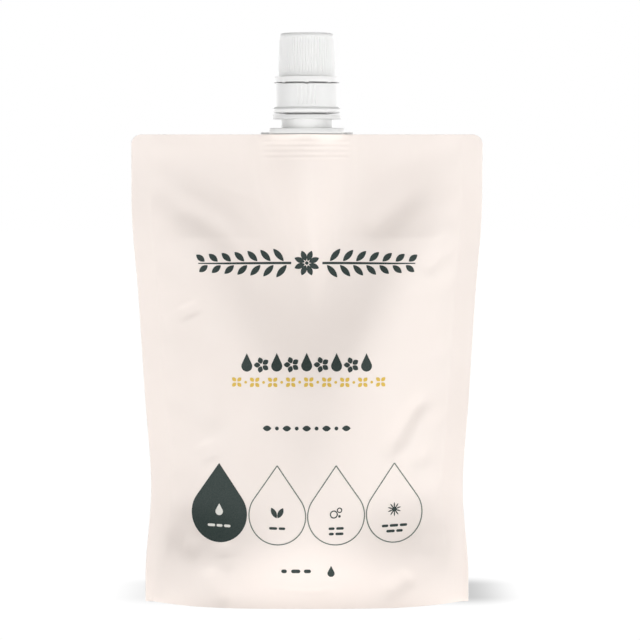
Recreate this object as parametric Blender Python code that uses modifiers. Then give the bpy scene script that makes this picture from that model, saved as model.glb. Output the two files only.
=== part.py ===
"""Hand soap refill pack: a filled stand-up film pouch with a welded spout and a screw cap.

The pouch is one sealed, filled body. The moulded spout is welded into its top seal, and
the cap screws on the spout's thread over a foam liner. A tamper band stays on the spout.
The pack stands on z = 0 with its front facing -Y, and the spout's axis is the Z axis.
"""
import math

import bmesh
import bpy
from mathutils import Matrix, Vector

# Running clearance between neighbouring pieces
FIT_GAP = 0.0003

# Pouch outline, seen from the front
POUCH_HEIGHT = 0.18725
BASE_WIDTH = 0.1300
WAIST_WIDTH = 0.1252
HIP_WIDTH = 0.1297
CHEST_WIDTH = 0.1346
TOP_WIDTH = 0.1400
WAIST_HEIGHT = 0.046
HIP_HEIGHT = 0.082
CHEST_HEIGHT = 0.122
SHOULDER_HEIGHT = 0.162
TOP_CORNER_RADIUS = 0.004

# Seals along the pouch's edges
SEAL_THICKNESS = 0.0005
SIDE_SEAL_WIDTH = 0.008
TOP_SEAL_WIDTH = 0.007
BASE_SEAL_HEIGHT = 0.009

# Half depths of the filled pouch on its centre line, and where they lie
BASE_HALF_DEPTH = 0.0193
BELLY_HALF_DEPTH = 0.0244
HIP_HALF_DEPTH = 0.0178
CHEST_HALF_DEPTH = 0.0074
NECK_HALF_DEPTH = 0.0034
BELLY_HEIGHT = 0.028
NECK_HEIGHT_ON_FILM = 0.146
# The filled part reaches higher towards the sides than under the spout
SHOULDER_LIFT = 0.038
SHOULDER_LIFT_RUN = 0.056
SHOULDER_LIFT_START = 0.045
SHOULDER_LIFT_RISE = 0.060
SHOULDER_LIFT_FADE = 0.034
# From each side seal the film rises to the middle at this slope, and the two meet softly
SIDE_SLOPE = 0.54
SIDE_BLEND = 0.008
# How square the base's plan is: 2 is a plain arc, more is flatter in the middle
BASE_SQUARENESS = 3.6
# The base's corners are tacked flat over this width, and its plan fades out at this height
BASE_TACK_WIDTH = 0.0023
BASE_BLEND_HEIGHT = 0.038
# How softly the film passes from the boat's bulge to the filled body and to the seal
BULGE_BLEND = 0.002
BULGE_SIDE_RUN = 0.004
# Below the boat the bulge sinks in over this run, to this share, and narrows to this share
BULGE_FOOT_RUN = 0.050
BULGE_FOOT_SHARE = 0.42
BULGE_FOOT_WIDTH_SHARE = 0.50
# Folds fade out where the pouch is thinner than this
CREASE_FADE_DEPTH = 0.008

# Underside: a skirt all round, and a gusset that sags to the ground inside it
SKIRT_THICKNESS = 0.0009
GUSSET_RISE = 0.006
GUSSET_TIP = 0.0004
# The gusset's section, as shares of the half depth in from the skirt and of its rise
GUSSET_SECTION = ((0.50, 0.0), (0.34, 0.22), (0.16, 0.78), (0.02, 1.0))

# Spout: boat welded between the films, two flanges with a neck between, and the tube
BOAT_HALF_LENGTH = 0.019
BOAT_HALF_DEPTH = 0.0089
BOAT_TIP_HALF_DEPTH = 0.0006
BOAT_DEPTH_BELOW_FLANGE = 0.0103
BOAT_RIB_COUNT = 4
BOAT_RIB_HEIGHT = 0.0010
BOAT_RIB_PITCH = 0.0021
BOAT_RIB_DEPTH = 0.0007
BOAT_RIB_DRAFT = 0.00025
BASE_FLANGE_WIDTH = 0.0297
BASE_FLANGE_DEPTH = 0.0220
BASE_FLANGE_CORNER = 0.0060
BASE_FLANGE_THICKNESS = 0.0021
NECK_DIAMETER = 0.0203
NECK_HEIGHT = 0.00365
GUIDE_SPAN = 0.0225
GUIDE_THICKNESS = 0.0016
UPPER_FLANGE_PROUD = 0.00005
UPPER_FLANGE_THICKNESS = 0.0017
TUBE_DIAMETER = 0.0172
BORE_DIAMETER = 0.0144
TUBE_RIM_CHAMFER = 0.0004
COLLAR_CLEARANCE = 0.0004
COLLAR_HEIGHT = 0.0012
COLLAR_TAPER = 0.0018

# Screw thread shared by the spout and the cap
THREAD_LEAD = 0.003
THREAD_HEIGHT = 0.0008
THREAD_ROOT_WIDTH = 0.0013
THREAD_CREST_WIDTH = 0.0006
THREAD_CLEARANCE = 0.0003
THREAD_RIM_DISTANCE = 0.0016
SPOUT_THREAD_TURNS = 1.75
CAP_THREAD_TURNS = 1.25

# Tamper band
BAND_SEAT_GAP = 0.0006
BAND_HEIGHT = 0.01165
BAND_DIAMETER = 0.0258
BAND_WALL = 0.0009
BAND_EDGE = 0.0002
BAND_BEAD_HEIGHT = 0.0024
BAND_BEAD_PROUD = 0.00075
BAND_LIP_HEIGHT = 0.0026
BAND_LIP_REACH = 0.0011
FLUTE_COUNT = 5
FLUTE_PITCH = 0.00165
FLUTE_RADIUS = 0.0005
FLUTE_HEIGHT = 0.0070
FLUTE_DEPTH = 0.00028
NOTCH_WIDTH = 0.0022
NOTCH_DEPTH = 0.0005

# Screw cap
BRIDGE_GAP = 0.0006
BRIDGE_COUNT = 8
BRIDGE_WIDTH = 0.0016
BRIDGE_TIP_WIDTH = 0.0008
CAP_HEIGHT = 0.0194
CAP_TOP_DIAMETER = 0.0218
CAP_GRIP_DIAMETER = 0.0227
CAP_SKIRT_HEIGHT = 0.0022
CAP_SKIRT_FILLET = 0.0012
CAP_SKIRT_WALL = 0.0009
CAP_SHOULDER_RADIUS = 0.0017
CAP_TOP_WALL = 0.0014
CAP_RIB_COUNT = 60
CAP_RIB_DEPTH = 0.00026
CAP_RIB_END = 0.0009

# Foam liner disc inside the cap
LINER_THICKNESS = 0.0010

# Fineness of the faceted solids
TURN_STEPS = 32
BAND_STEPS = 40
FLUTE_STEPS = 8
THREAD_STEPS_PER_TURN = 18
BOAT_COLUMNS = 6
SIDE_COLUMNS = 8
SEAL_COLUMNS = 2
BODY_ROWS = 25
CORNER_ROWS = 2
ARC_STEPS = 3

# Heights that follow from the sizes above
BASE_FLANGE_BOTTOM = POUCH_HEIGHT + FIT_GAP
BASE_FLANGE_TOP = BASE_FLANGE_BOTTOM + BASE_FLANGE_THICKNESS
UPPER_FLANGE_BOTTOM = BASE_FLANGE_TOP + NECK_HEIGHT
UPPER_FLANGE_TOP = UPPER_FLANGE_BOTTOM + UPPER_FLANGE_THICKNESS
BOAT_BOTTOM = BASE_FLANGE_BOTTOM - BOAT_DEPTH_BELOW_FLANGE
BAND_BOTTOM = UPPER_FLANGE_TOP + BAND_SEAT_GAP
BAND_TOP = BAND_BOTTOM + BAND_HEIGHT
CAP_BOTTOM = BAND_TOP + BRIDGE_GAP
CAP_TOP = CAP_BOTTOM + CAP_HEIGHT
CAP_CEILING = CAP_TOP - CAP_TOP_WALL
LINER_TOP = CAP_CEILING - FIT_GAP
TUBE_TOP = LINER_TOP - LINER_THICKNESS - FIT_GAP
COLLAR_BOTTOM = BAND_BOTTOM + BAND_LIP_HEIGHT + FIT_GAP
SPOUT_THREAD_BOTTOM = TUBE_TOP - THREAD_RIM_DISTANCE - SPOUT_THREAD_TURNS * THREAD_LEAD
CAP_THREAD_BOTTOM = SPOUT_THREAD_BOTTOM - THREAD_LEAD / 2

# Half the width of the base between its tacked corners
BASE_OPEN_HALF_WIDTH = BASE_WIDTH / 2 - BASE_TACK_WIDTH

# Radii that follow from the sizes above; the band and the cap's skirt are moulded as one
BAND_RADIUS = BAND_DIAMETER / 2
BAND_INNER_RADIUS = BAND_RADIUS - BAND_WALL
CAP_SKIRT_RADIUS = BAND_RADIUS
UPPER_FLANGE_RADIUS = BAND_RADIUS + BAND_BEAD_PROUD + UPPER_FLANGE_PROUD
COLLAR_RADIUS = BAND_INNER_RADIUS - COLLAR_CLEARANCE
CAP_BORE_RADIUS = TUBE_DIAMETER / 2 + THREAD_HEIGHT + THREAD_CLEARANCE


class Crease:
    """A soft fold in the film: a straight groove between two points of the front or back."""

    def __init__(self, start, end, depth, width):
        self.start = start
        self.end = end
        self.depth = depth
        self.width = width

    def depth_at(self, x, z):
        """How far the film is pushed in at a point, fading along the fold and across it."""
        run_x = self.end[0] - self.start[0]
        run_z = self.end[1] - self.start[1]
        length = math.hypot(run_x, run_z)
        along = ((x - self.start[0]) * run_x + (z - self.start[1]) * run_z) / length**2
        across = ((x - self.start[0]) * run_z - (z - self.start[1]) * run_x) / length
        past_end = max(0.0, abs(along - 0.5) - 0.5) * length
        return self.depth * math.exp(-(across**2 + past_end**2) / self.width**2)


# Folds of the front film: across the two shoulders, beside the belly and over the base
FRONT_CREASES = (
    Crease((-0.060, 0.160), (-0.035, 0.153), 0.0010, 0.0042),
    Crease((-0.035, 0.153), (-0.030, 0.143), 0.0007, 0.0050),
    Crease((0.044, 0.171), (0.022, 0.147), 0.0009, 0.0045),
    Crease((0.057, 0.142), (0.046, 0.131), 0.0010, 0.0040),
    Crease((-0.047, 0.084), (-0.046, 0.064), 0.0007, 0.0045),
    Crease((0.052, 0.082), (0.033, 0.060), 0.0010, 0.0042),
    Crease((-0.035, 0.018), (-0.037, 0.002), 0.0010, 0.0040),
    Crease((0.043, 0.014), (0.029, 0.006), 0.0009, 0.0040),
)
# Folds of the back film
BACK_CREASES = (
    Crease((-0.056, 0.155), (-0.030, 0.146), 0.0013, 0.0045),
    Crease((0.058, 0.158), (0.036, 0.150), 0.0012, 0.0045),
    Crease((-0.050, 0.082), (-0.038, 0.062), 0.0009, 0.0042),
    Crease((0.036, 0.018), (0.038, 0.002), 0.0009, 0.0040),
)


def ease(t):
    """Turn 0..1 into a smooth rise with level ends, and hold it outside that range."""
    t = min(1.0, max(0.0, t))
    return (1 - math.cos(math.pi * t)) / 2


def curve_through(knots, t):
    """Value at t of a smooth curve through (place, value) knots, level at both ends."""
    last = len(knots) - 1
    if t <= knots[0][0]:
        return knots[0][1]
    if t >= knots[last][0]:
        return knots[last][1]
    i = max(k for k in range(last) if knots[k][0] <= t)

    def slope(k):
        if k in (0, last):
            return 0.0
        before = (knots[k][1] - knots[k - 1][1]) / (knots[k][0] - knots[k - 1][0])
        after = (knots[k + 1][1] - knots[k][1]) / (knots[k + 1][0] - knots[k][0])
        if before * after <= 0:
            return 0.0
        return 2 * before * after / (before + after)

    span = knots[i + 1][0] - knots[i][0]
    s = (t - knots[i][0]) / span
    start = knots[i][1] * (1 + 2 * s) * (1 - s) ** 2
    end = knots[i + 1][1] * (3 - 2 * s) * s**2
    bend = span * (slope(i) * s * (1 - s) ** 2 - slope(i + 1) * (1 - s) * s**2)
    return start + end + bend


def edge_half_width(z):
    """Half the pouch's width at a height, before its top corners are rounded."""
    return curve_through(
        (
            (BASE_SEAL_HEIGHT, BASE_WIDTH / 2),
            (WAIST_HEIGHT, WAIST_WIDTH / 2),
            (HIP_HEIGHT, HIP_WIDTH / 2),
            (CHEST_HEIGHT, CHEST_WIDTH / 2),
            (SHOULDER_HEIGHT, TOP_WIDTH / 2),
        ),
        z,
    )


def rounded_half_width(z):
    """Half the pouch's width at a height, with its top corners rounded."""
    above = max(0.0, z - (POUCH_HEIGHT - TOP_CORNER_RADIUS))
    trim = TOP_CORNER_RADIUS - math.sqrt(max(0.0, TOP_CORNER_RADIUS**2 - above**2))
    return edge_half_width(z) - trim


def fill_half_depth(z):
    """Half the depth of the filled pouch on its centre line at a height."""
    return curve_through(
        (
            (0.0, BASE_HALF_DEPTH),
            (BELLY_HEIGHT, BELLY_HALF_DEPTH),
            (HIP_HEIGHT, HIP_HALF_DEPTH),
            (CHEST_HEIGHT, CHEST_HALF_DEPTH),
            (NECK_HEIGHT_ON_FILM, NECK_HALF_DEPTH),
            (POUCH_HEIGHT - TOP_SEAL_WIDTH, SEAL_THICKNESS / 2),
        ),
        z,
    )


def shoulder_lift(x, z):
    """How much higher the filled part reaches at a point than on the centre line."""
    sideways = ease(abs(x) / SHOULDER_LIFT_RUN)
    upward = ease((z - SHOULDER_LIFT_START) / SHOULDER_LIFT_RISE)
    below_seal = max(0.0, POUCH_HEIGHT - TOP_SEAL_WIDTH - z)
    return SHOULDER_LIFT * sideways * upward * min(1.0, below_seal / SHOULDER_LIFT_FADE)


def body_half_depth(x, z):
    """Half the depth of the filled body: a level middle that two side planes run up to."""
    seal_edge = edge_half_width(z) - SIDE_SEAL_WIDTH
    side = SIDE_SLOPE * max(0.0, seal_edge - abs(x))
    middle = fill_half_depth(z - shoulder_lift(x, z))
    return -soft_max(-side, -middle, SIDE_BLEND)


def base_profile(x):
    """Share of the base's full half depth at x: level in the middle, nothing at the corners."""
    return 1 - min(1.0, abs(x) / BASE_OPEN_HALF_WIDTH) ** BASE_SQUARENESS


def boat_half_depth(x):
    """Half the depth of the boat at x, a pointed oval that ends in a thin tip."""
    swell = 1 - ease(abs(x) / BOAT_HALF_LENGTH)
    return BOAT_TIP_HALF_DEPTH + (BOAT_HALF_DEPTH - BOAT_TIP_HALF_DEPTH) * swell


def pocket_half_depth(x):
    """Half the depth of the pocket that the boat sits in, one clearance larger than it."""
    return boat_half_depth(x * BOAT_HALF_LENGTH / (BOAT_HALF_LENGTH + FIT_GAP)) + FIT_GAP


def bulge_half_depth(x, z):
    """Half depth of the film round the boat, falling to the seal beside it and sinking below."""
    sunk = ease((BOAT_BOTTOM - z) / BULGE_FOOT_RUN)
    end = BOAT_HALF_LENGTH + FIT_GAP
    reach = abs(x) / (1 - (1 - BULGE_FOOT_WIDTH_SHARE) * sunk)
    wrapped = pocket_half_depth(min(reach, end)) + SEAL_THICKNESS
    beside = ease((reach - end) / BULGE_SIDE_RUN)
    flat = SEAL_THICKNESS / 2
    bulge = wrapped + (flat - wrapped) * beside
    return flat + (bulge - flat) * (1 - (1 - BULGE_FOOT_SHARE) * sunk)


def soft_max(a, b, blend):
    """The larger of two values, rounded off where they are within the blend of each other."""
    overlap = max(0.0, 1 - abs(a - b) / blend)
    return max(a, b) + blend * overlap**2 / 4


def film_half_depth(x, z, creases):
    """Distance of the film from the pouch's middle plane at a point of its front or back."""
    base_share = 1 - ease(z / BASE_BLEND_HEIGHT)
    base = fill_half_depth(z) * base_profile(x)
    depth = (1 - base_share) * body_half_depth(x, z) + base_share * base
    fold = sum(crease.depth_at(x, z) for crease in creases)
    depth -= fold * min(1.0, max(0.0, depth) / CREASE_FADE_DEPTH)
    bulge = bulge_half_depth(x, z)
    depth = soft_max(depth, bulge, min(BULGE_BLEND, bulge))
    return max(depth, SEAL_THICKNESS / 2)


def pouch_columns(z):
    """The x places of the pouch's columns at a height, from left edge to right edge."""
    boat_end = BOAT_HALF_LENGTH + FIT_GAP
    seal_edge = edge_half_width(z) - SIDE_SEAL_WIDTH
    right = [boat_end * i / BOAT_COLUMNS for i in range(1, BOAT_COLUMNS + 1)]
    right += [
        boat_end + (seal_edge - boat_end) * i / SIDE_COLUMNS
        for i in range(1, SIDE_COLUMNS + 1)
    ]
    edge = rounded_half_width(z)
    right += [
        seal_edge + (edge - seal_edge) * i / SEAL_COLUMNS for i in range(1, SEAL_COLUMNS + 1)
    ]
    return [-x for x in reversed(right)] + [0.0] + right


def pouch_rows():
    """The heights of the pouch's rows, from the ground to the top edge."""
    corner_start = POUCH_HEIGHT - TOP_CORNER_RADIUS
    seal_start = POUCH_HEIGHT - TOP_SEAL_WIDTH
    rows = [0.0, BASE_SEAL_HEIGHT / 2, BASE_SEAL_HEIGHT]
    rise = seal_start - BASE_SEAL_HEIGHT
    rows += [BASE_SEAL_HEIGHT + rise * i / BODY_ROWS for i in range(1, BODY_ROWS + 1)]
    rows.append(corner_start)
    for i in range(1, CORNER_ROWS + 1):
        rows.append(corner_start + TOP_CORNER_RADIUS * math.sin(math.pi / 2 * i / CORNER_ROWS))
    return rows


def pouch_ring(z):
    """One level of the pouch: along the front from left to right, then back again."""
    columns = pouch_columns(z)
    front = [(x, -film_half_depth(x, z, FRONT_CREASES), z) for x in columns]
    back = [(x, film_half_depth(x, z, BACK_CREASES), z) for x in reversed(columns)]
    return front + back


def underside_ring(inset, z):
    """A ring of the underside, a set distance inside the base's outline."""
    share = (inset + GUSSET_TIP) / BASE_HALF_DEPTH
    reach = BASE_OPEN_HALF_WIDTH * (1 - share) ** (1 / BASE_SQUARENESS)
    columns = [min(reach, max(-reach, x)) for x in pouch_columns(0.0)]
    depths = [BASE_HALF_DEPTH * base_profile(x) - inset for x in columns]
    front = [(x, -d, z) for x, d in zip(columns, depths)]
    back = [(x, d, z) for x, d in reversed(list(zip(columns, depths)))]
    return front + back


def film_material():
    """White film with a warm cast and a soft sheen."""
    return make_material("pouch_film", (0.93, 0.89, 0.86), 0.42)


def moulded_material(name):
    """White moulded polypropylene, as on the spout, the band and the cap."""
    return make_material(name, (0.86, 0.86, 0.86), 0.38)


def make_material(name, colour, roughness):
    """A plain Principled material of one colour."""
    material = bpy.data.materials.new(name)
    material.use_nodes = True
    shader = material.node_tree.nodes["Principled BSDF"]
    shader.inputs["Base Color"].default_value = (*colour, 1.0)
    shader.inputs["Roughness"].default_value = roughness
    shader.inputs["Metallic"].default_value = 0.0
    return material


def add_object(name, mesh, collection, material=None):
    """Put a mesh in a collection as a named object."""
    obj = bpy.data.objects.new(name, mesh)
    collection.objects.link(obj)
    if material:
        mesh.materials.append(material)
    return obj


def add_bmesh(name, bm, collection, material=None):
    """Turn a bmesh into a named object, with its faces pointing outwards."""
    bmesh.ops.recalc_face_normals(bm, faces=bm.faces)
    mesh = bpy.data.meshes.new(name)
    bm.to_mesh(mesh)
    bm.free()
    return add_object(name, mesh, collection, material)


def loft(name, rings, collection, material=None):
    """Join rings of equal point counts into one closed solid."""
    bm = bmesh.new()
    levels = [[bm.verts.new(point) for point in ring] for ring in rings]
    count = len(rings[0])
    for low, high in zip(levels, levels[1:]):
        for i in range(count):
            j = (i + 1) % count
            bm.faces.new((low[i], low[j], high[j], high[i]))
    bm.faces.new(list(reversed(levels[0])))
    bm.faces.new(levels[-1])
    bmesh.ops.remove_doubles(bm, verts=bm.verts, dist=1e-6)
    return add_bmesh(name, bm, collection, material)


def turn(name, profile, steps, collection, material=None, closed=False):
    """Turn a profile of (radius, z) points, listed down its outer side, about the Z axis."""
    mesh = bpy.data.meshes.new(name)
    points = [(radius, 0.0, z) for radius, z in profile]
    edges = [(i, i + 1) for i in range(len(points) - 1)]
    if closed:
        edges.append((len(points) - 1, 0))
    mesh.from_pydata(points, edges, [])
    obj = add_object(name, mesh, collection, material)
    screw = obj.modifiers.new("Turn", "SCREW")
    screw.steps = steps
    screw.render_steps = steps
    screw.use_merge_vertices = True
    screw.merge_threshold = 0.00001
    return obj


def cylinder(name, radius, bottom, top, steps, collection, centre=(0.0, 0.0)):
    """An upright cylinder between two heights."""
    bm = bmesh.new()
    place = Matrix.Translation((centre[0], centre[1], (bottom + top) / 2))
    bmesh.ops.create_cone(
        bm,
        cap_ends=True,
        segments=steps,
        radius1=radius,
        radius2=radius,
        depth=top - bottom,
        matrix=place,
    )
    return add_bmesh(name, bm, collection)


def box(name, size, centre, collection):
    """A box of a given size about a centre."""
    bm = bmesh.new()
    scale = Matrix.Diagonal((*size, 1.0))
    bmesh.ops.create_cube(bm, size=1.0, matrix=Matrix.Translation(centre) @ scale)
    return add_bmesh(name, bm, collection)


def combine(obj, tool, operation):
    """Join a tool shape to an object, or cut it out, with a live Boolean."""
    boolean = obj.modifiers.new(f"{operation.title()} {tool.name}", "BOOLEAN")
    boolean.operation = operation
    boolean.object = tool
    boolean.solver = "EXACT"
    tool.hide_render = True
    tool.display_type = "WIRE"


def smooth(obj):
    """Shade an object's round faces smooth and keep its edges sharp."""
    obj.data.shade_smooth()
    obj.data.set_sharp_from_angle(angle=math.radians(30))


def thread_ridge(name, root, crest, turns, bottom, collection):
    """A right-hand thread ridge, sunk into its wall, that fades out at both ends."""
    steps = round(turns * THREAD_STEPS_PER_TURN)
    outward = math.copysign(1, crest - root)
    sunk = root - outward * THREAD_HEIGHT / 2
    rings = []
    for k in range(steps + 1):
        angle = 2 * math.pi * turns * k / steps
        z = bottom + THREAD_LEAD * turns * k / steps
        fade = ease((min(k, steps - k) + 1) / (THREAD_STEPS_PER_TURN / 6))
        tip = root + (crest - root) * fade
        section = (
            (sunk, -THREAD_ROOT_WIDTH / 2),
            (tip, -THREAD_CREST_WIDTH / 2),
            (tip, THREAD_CREST_WIDTH / 2),
            (sunk, THREAD_ROOT_WIDTH / 2),
        )
        rings.append(
            [(r * math.cos(angle), r * math.sin(angle), z + dz) for r, dz in section]
        )
    return loft(name, rings, collection)


def boat_outline(inset, z):
    """One level of the boat: its pointed oval, made smaller by an inset."""
    shrink = (BOAT_HALF_LENGTH - inset) / BOAT_HALF_LENGTH
    steps = range(-BOAT_COLUMNS, BOAT_COLUMNS + 1)
    places = [BOAT_HALF_LENGTH * i / BOAT_COLUMNS for i in steps]
    depths = [max(BOAT_TIP_HALF_DEPTH / 2, boat_half_depth(x) - inset) for x in places]
    front = [(x * shrink, -d, z) for x, d in zip(places, depths)]
    back = [(x * shrink, d, z) for x, d in reversed(list(zip(places, depths)))]
    return front + back


def build_pouch(parts, tools):
    """The filled pouch, with a pocket in its top seal for the spout's boat."""
    inner = BASE_HALF_DEPTH - SKIRT_THICKNESS
    rings = [
        underside_ring(SKIRT_THICKNESS + inner * inward, GUSSET_RISE * rise)
        for inward, rise in GUSSET_SECTION
    ]
    rings.append(underside_ring(SKIRT_THICKNESS, 0.0))
    rings += [pouch_ring(z) for z in pouch_rows()]
    pouch = loft("pouch", rings, parts, film_material())
    pocket_end = BOAT_HALF_LENGTH + FIT_GAP
    places = [pocket_end * i / BOAT_COLUMNS for i in range(-BOAT_COLUMNS, BOAT_COLUMNS + 1)]
    levels = (BOAT_BOTTOM - FIT_GAP, POUCH_HEIGHT + FIT_GAP)
    pocket_rings = [
        [(x, -pocket_half_depth(x), z) for x in places]
        + [(x, pocket_half_depth(x), z) for x in reversed(places)]
        for z in levels
    ]
    combine(pouch, loft("boat_pocket", pocket_rings, tools), "DIFFERENCE")
    smooth(pouch)
    return pouch


def build_boat(tools):
    """The spout's boat: a pointed oval block with weld ribs around it."""
    core = BOAT_RIB_DEPTH
    half = BOAT_RIB_HEIGHT / 2
    rings = []
    for i in range(BOAT_RIB_COUNT):
        centre = BOAT_BOTTOM + half + i * BOAT_RIB_PITCH
        if i:
            rings.append(boat_outline(core, centre - half - BOAT_RIB_DRAFT))
        rings.append(boat_outline(0.0, centre - half))
        rings.append(boat_outline(0.0, centre + half))
        rings.append(boat_outline(core, centre + half + BOAT_RIB_DRAFT))
    rings.append(boat_outline(core, POUCH_HEIGHT - FIT_GAP))
    return loft("spout_boat", rings, tools)


def build_base_flange(tools):
    """The flange that sits on the pouch's top edge: a plate with cut corners."""
    bm = bmesh.new()
    size = (BASE_FLANGE_WIDTH, BASE_FLANGE_DEPTH, BASE_FLANGE_THICKNESS)
    centre = (0.0, 0.0, (BASE_FLANGE_BOTTOM + BASE_FLANGE_TOP) / 2)
    placed = Matrix.Translation(centre) @ Matrix.Diagonal((*size, 1.0))
    bmesh.ops.create_cube(bm, size=1.0, matrix=placed)
    upright = [e for e in bm.edges if abs(e.verts[0].co.z - e.verts[1].co.z) > 1e-5]
    bmesh.ops.bevel(
        bm,
        geom=upright,
        offset=BASE_FLANGE_CORNER,
        segments=ARC_STEPS,
        profile=0.5,
        affect="EDGES",
    )
    return add_bmesh("spout_base_flange", bm, tools)


def build_spout(parts, tools):
    """The moulded spout: boat, base flange, neck with guides, upper flange and tube."""
    tube = TUBE_DIAMETER / 2
    collar_top = COLLAR_BOTTOM + COLLAR_HEIGHT
    profile = [
        (0.0, TUBE_TOP),
        (tube - TUBE_RIM_CHAMFER, TUBE_TOP),
        (tube, TUBE_TOP - TUBE_RIM_CHAMFER),
        (tube, collar_top + COLLAR_TAPER),
        (COLLAR_RADIUS, collar_top),
        (COLLAR_RADIUS, COLLAR_BOTTOM),
        (tube, COLLAR_BOTTOM),
        (tube, UPPER_FLANGE_TOP),
        (UPPER_FLANGE_RADIUS, UPPER_FLANGE_TOP),
        (UPPER_FLANGE_RADIUS, UPPER_FLANGE_BOTTOM),
        (NECK_DIAMETER / 2, UPPER_FLANGE_BOTTOM),
        (NECK_DIAMETER / 2, (BASE_FLANGE_BOTTOM + BASE_FLANGE_TOP) / 2),
        (tube, (BASE_FLANGE_BOTTOM + BASE_FLANGE_TOP) / 2),
        (tube, BOAT_BOTTOM + BOAT_RIB_HEIGHT / 2),
        (0.0, BOAT_BOTTOM + BOAT_RIB_HEIGHT / 2),
    ]
    spout = turn("spout", profile, TURN_STEPS, parts, moulded_material("spout_plastic"))
    sunk = min(BASE_FLANGE_THICKNESS, UPPER_FLANGE_THICKNESS) / 4
    guide_size = (GUIDE_SPAN, GUIDE_THICKNESS, NECK_HEIGHT + 2 * sunk)
    guide_centre = (0.0, 0.0, (BASE_FLANGE_TOP + UPPER_FLANGE_BOTTOM) / 2)
    combine(spout, build_base_flange(tools), "UNION")
    combine(spout, build_boat(tools), "UNION")
    combine(spout, box("spout_guides", guide_size, guide_centre, tools), "UNION")
    ridge = thread_ridge(
        "spout_thread",
        tube,
        tube + THREAD_HEIGHT,
        SPOUT_THREAD_TURNS,
        SPOUT_THREAD_BOTTOM,
        tools,
    )
    combine(spout, ridge, "UNION")
    bore = cylinder(
        "spout_bore",
        BORE_DIAMETER / 2,
        BOAT_BOTTOM - BOAT_RIB_HEIGHT,
        TUBE_TOP + BOAT_RIB_HEIGHT,
        TURN_STEPS,
        tools,
    )
    combine(spout, bore, "DIFFERENCE")
    return spout


def build_band(parts, tools):
    """The tamper band: a ring that hooks under the spout's collar, fluted at the front."""
    outer = BAND_RADIUS
    inner = BAND_INNER_RADIUS
    bead = outer + BAND_BEAD_PROUD
    lip = inner - BAND_LIP_REACH
    lip_top = BAND_BOTTOM + BAND_LIP_HEIGHT
    bead_top = BAND_BOTTOM + BAND_BEAD_HEIGHT
    profile = [
        (outer - BAND_EDGE, BAND_TOP),
        (outer, BAND_TOP - BAND_EDGE),
        (outer, bead_top),
        (bead - BAND_EDGE, bead_top - BAND_BEAD_PROUD / 2),
        (bead, bead_top - BAND_BEAD_PROUD),
        (bead, BAND_BOTTOM + BAND_BEAD_PROUD),
        (outer - BAND_EDGE, BAND_BOTTOM),
        (lip + BAND_EDGE, BAND_BOTTOM),
        (lip, BAND_BOTTOM + BAND_EDGE),
        (lip, lip_top - BAND_EDGE),
        (inner, lip_top),
        (inner, BAND_TOP),
    ]
    material = moulded_material("band_plastic")
    band = turn("tamper_band", profile, BAND_STEPS, parts, material, closed=True)
    middle = (bead_top + BAND_TOP) / 2
    for i in range(FLUTE_COUNT):
        angle = (i - (FLUTE_COUNT - 1) / 2) * FLUTE_PITCH / outer
        distance = outer + FLUTE_RADIUS - FLUTE_DEPTH
        place = (distance * math.sin(angle), -distance * math.cos(angle))
        low = middle - FLUTE_HEIGHT / 2
        high = low + FLUTE_HEIGHT
        name = f"band_flute_{i + 1}"
        flute = cylinder(name, FLUTE_RADIUS, low, high, FLUTE_STEPS, tools, place)
        combine(band, flute, "DIFFERENCE")
    bm = bmesh.new()
    bmesh.ops.create_cone(
        bm,
        cap_ends=True,
        segments=4,
        radius1=NOTCH_WIDTH / 2,
        radius2=NOTCH_WIDTH / 2,
        depth=4 * BAND_WALL,
        matrix=Matrix.Translation((0.0, -outer, BAND_TOP))
        @ Matrix.Diagonal((1.0, 1.0, 2 * NOTCH_DEPTH / NOTCH_WIDTH, 1.0))
        @ Matrix.Rotation(math.pi / 2, 4, "X"),
    )
    combine(band, add_bmesh("band_notch", bm, tools), "DIFFERENCE")
    return band


def cap_ring(radius, z, ribbed=False):
    """One level of the cap's outside, with its ribs where it is gripped."""
    count = 2 * CAP_RIB_COUNT
    points = []
    for i in range(count):
        angle = 2 * math.pi * i / count
        r = radius - (CAP_RIB_DEPTH if ribbed and i % 2 else 0.0)
        points.append((r * math.cos(angle), r * math.sin(angle), z))
    return points


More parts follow.
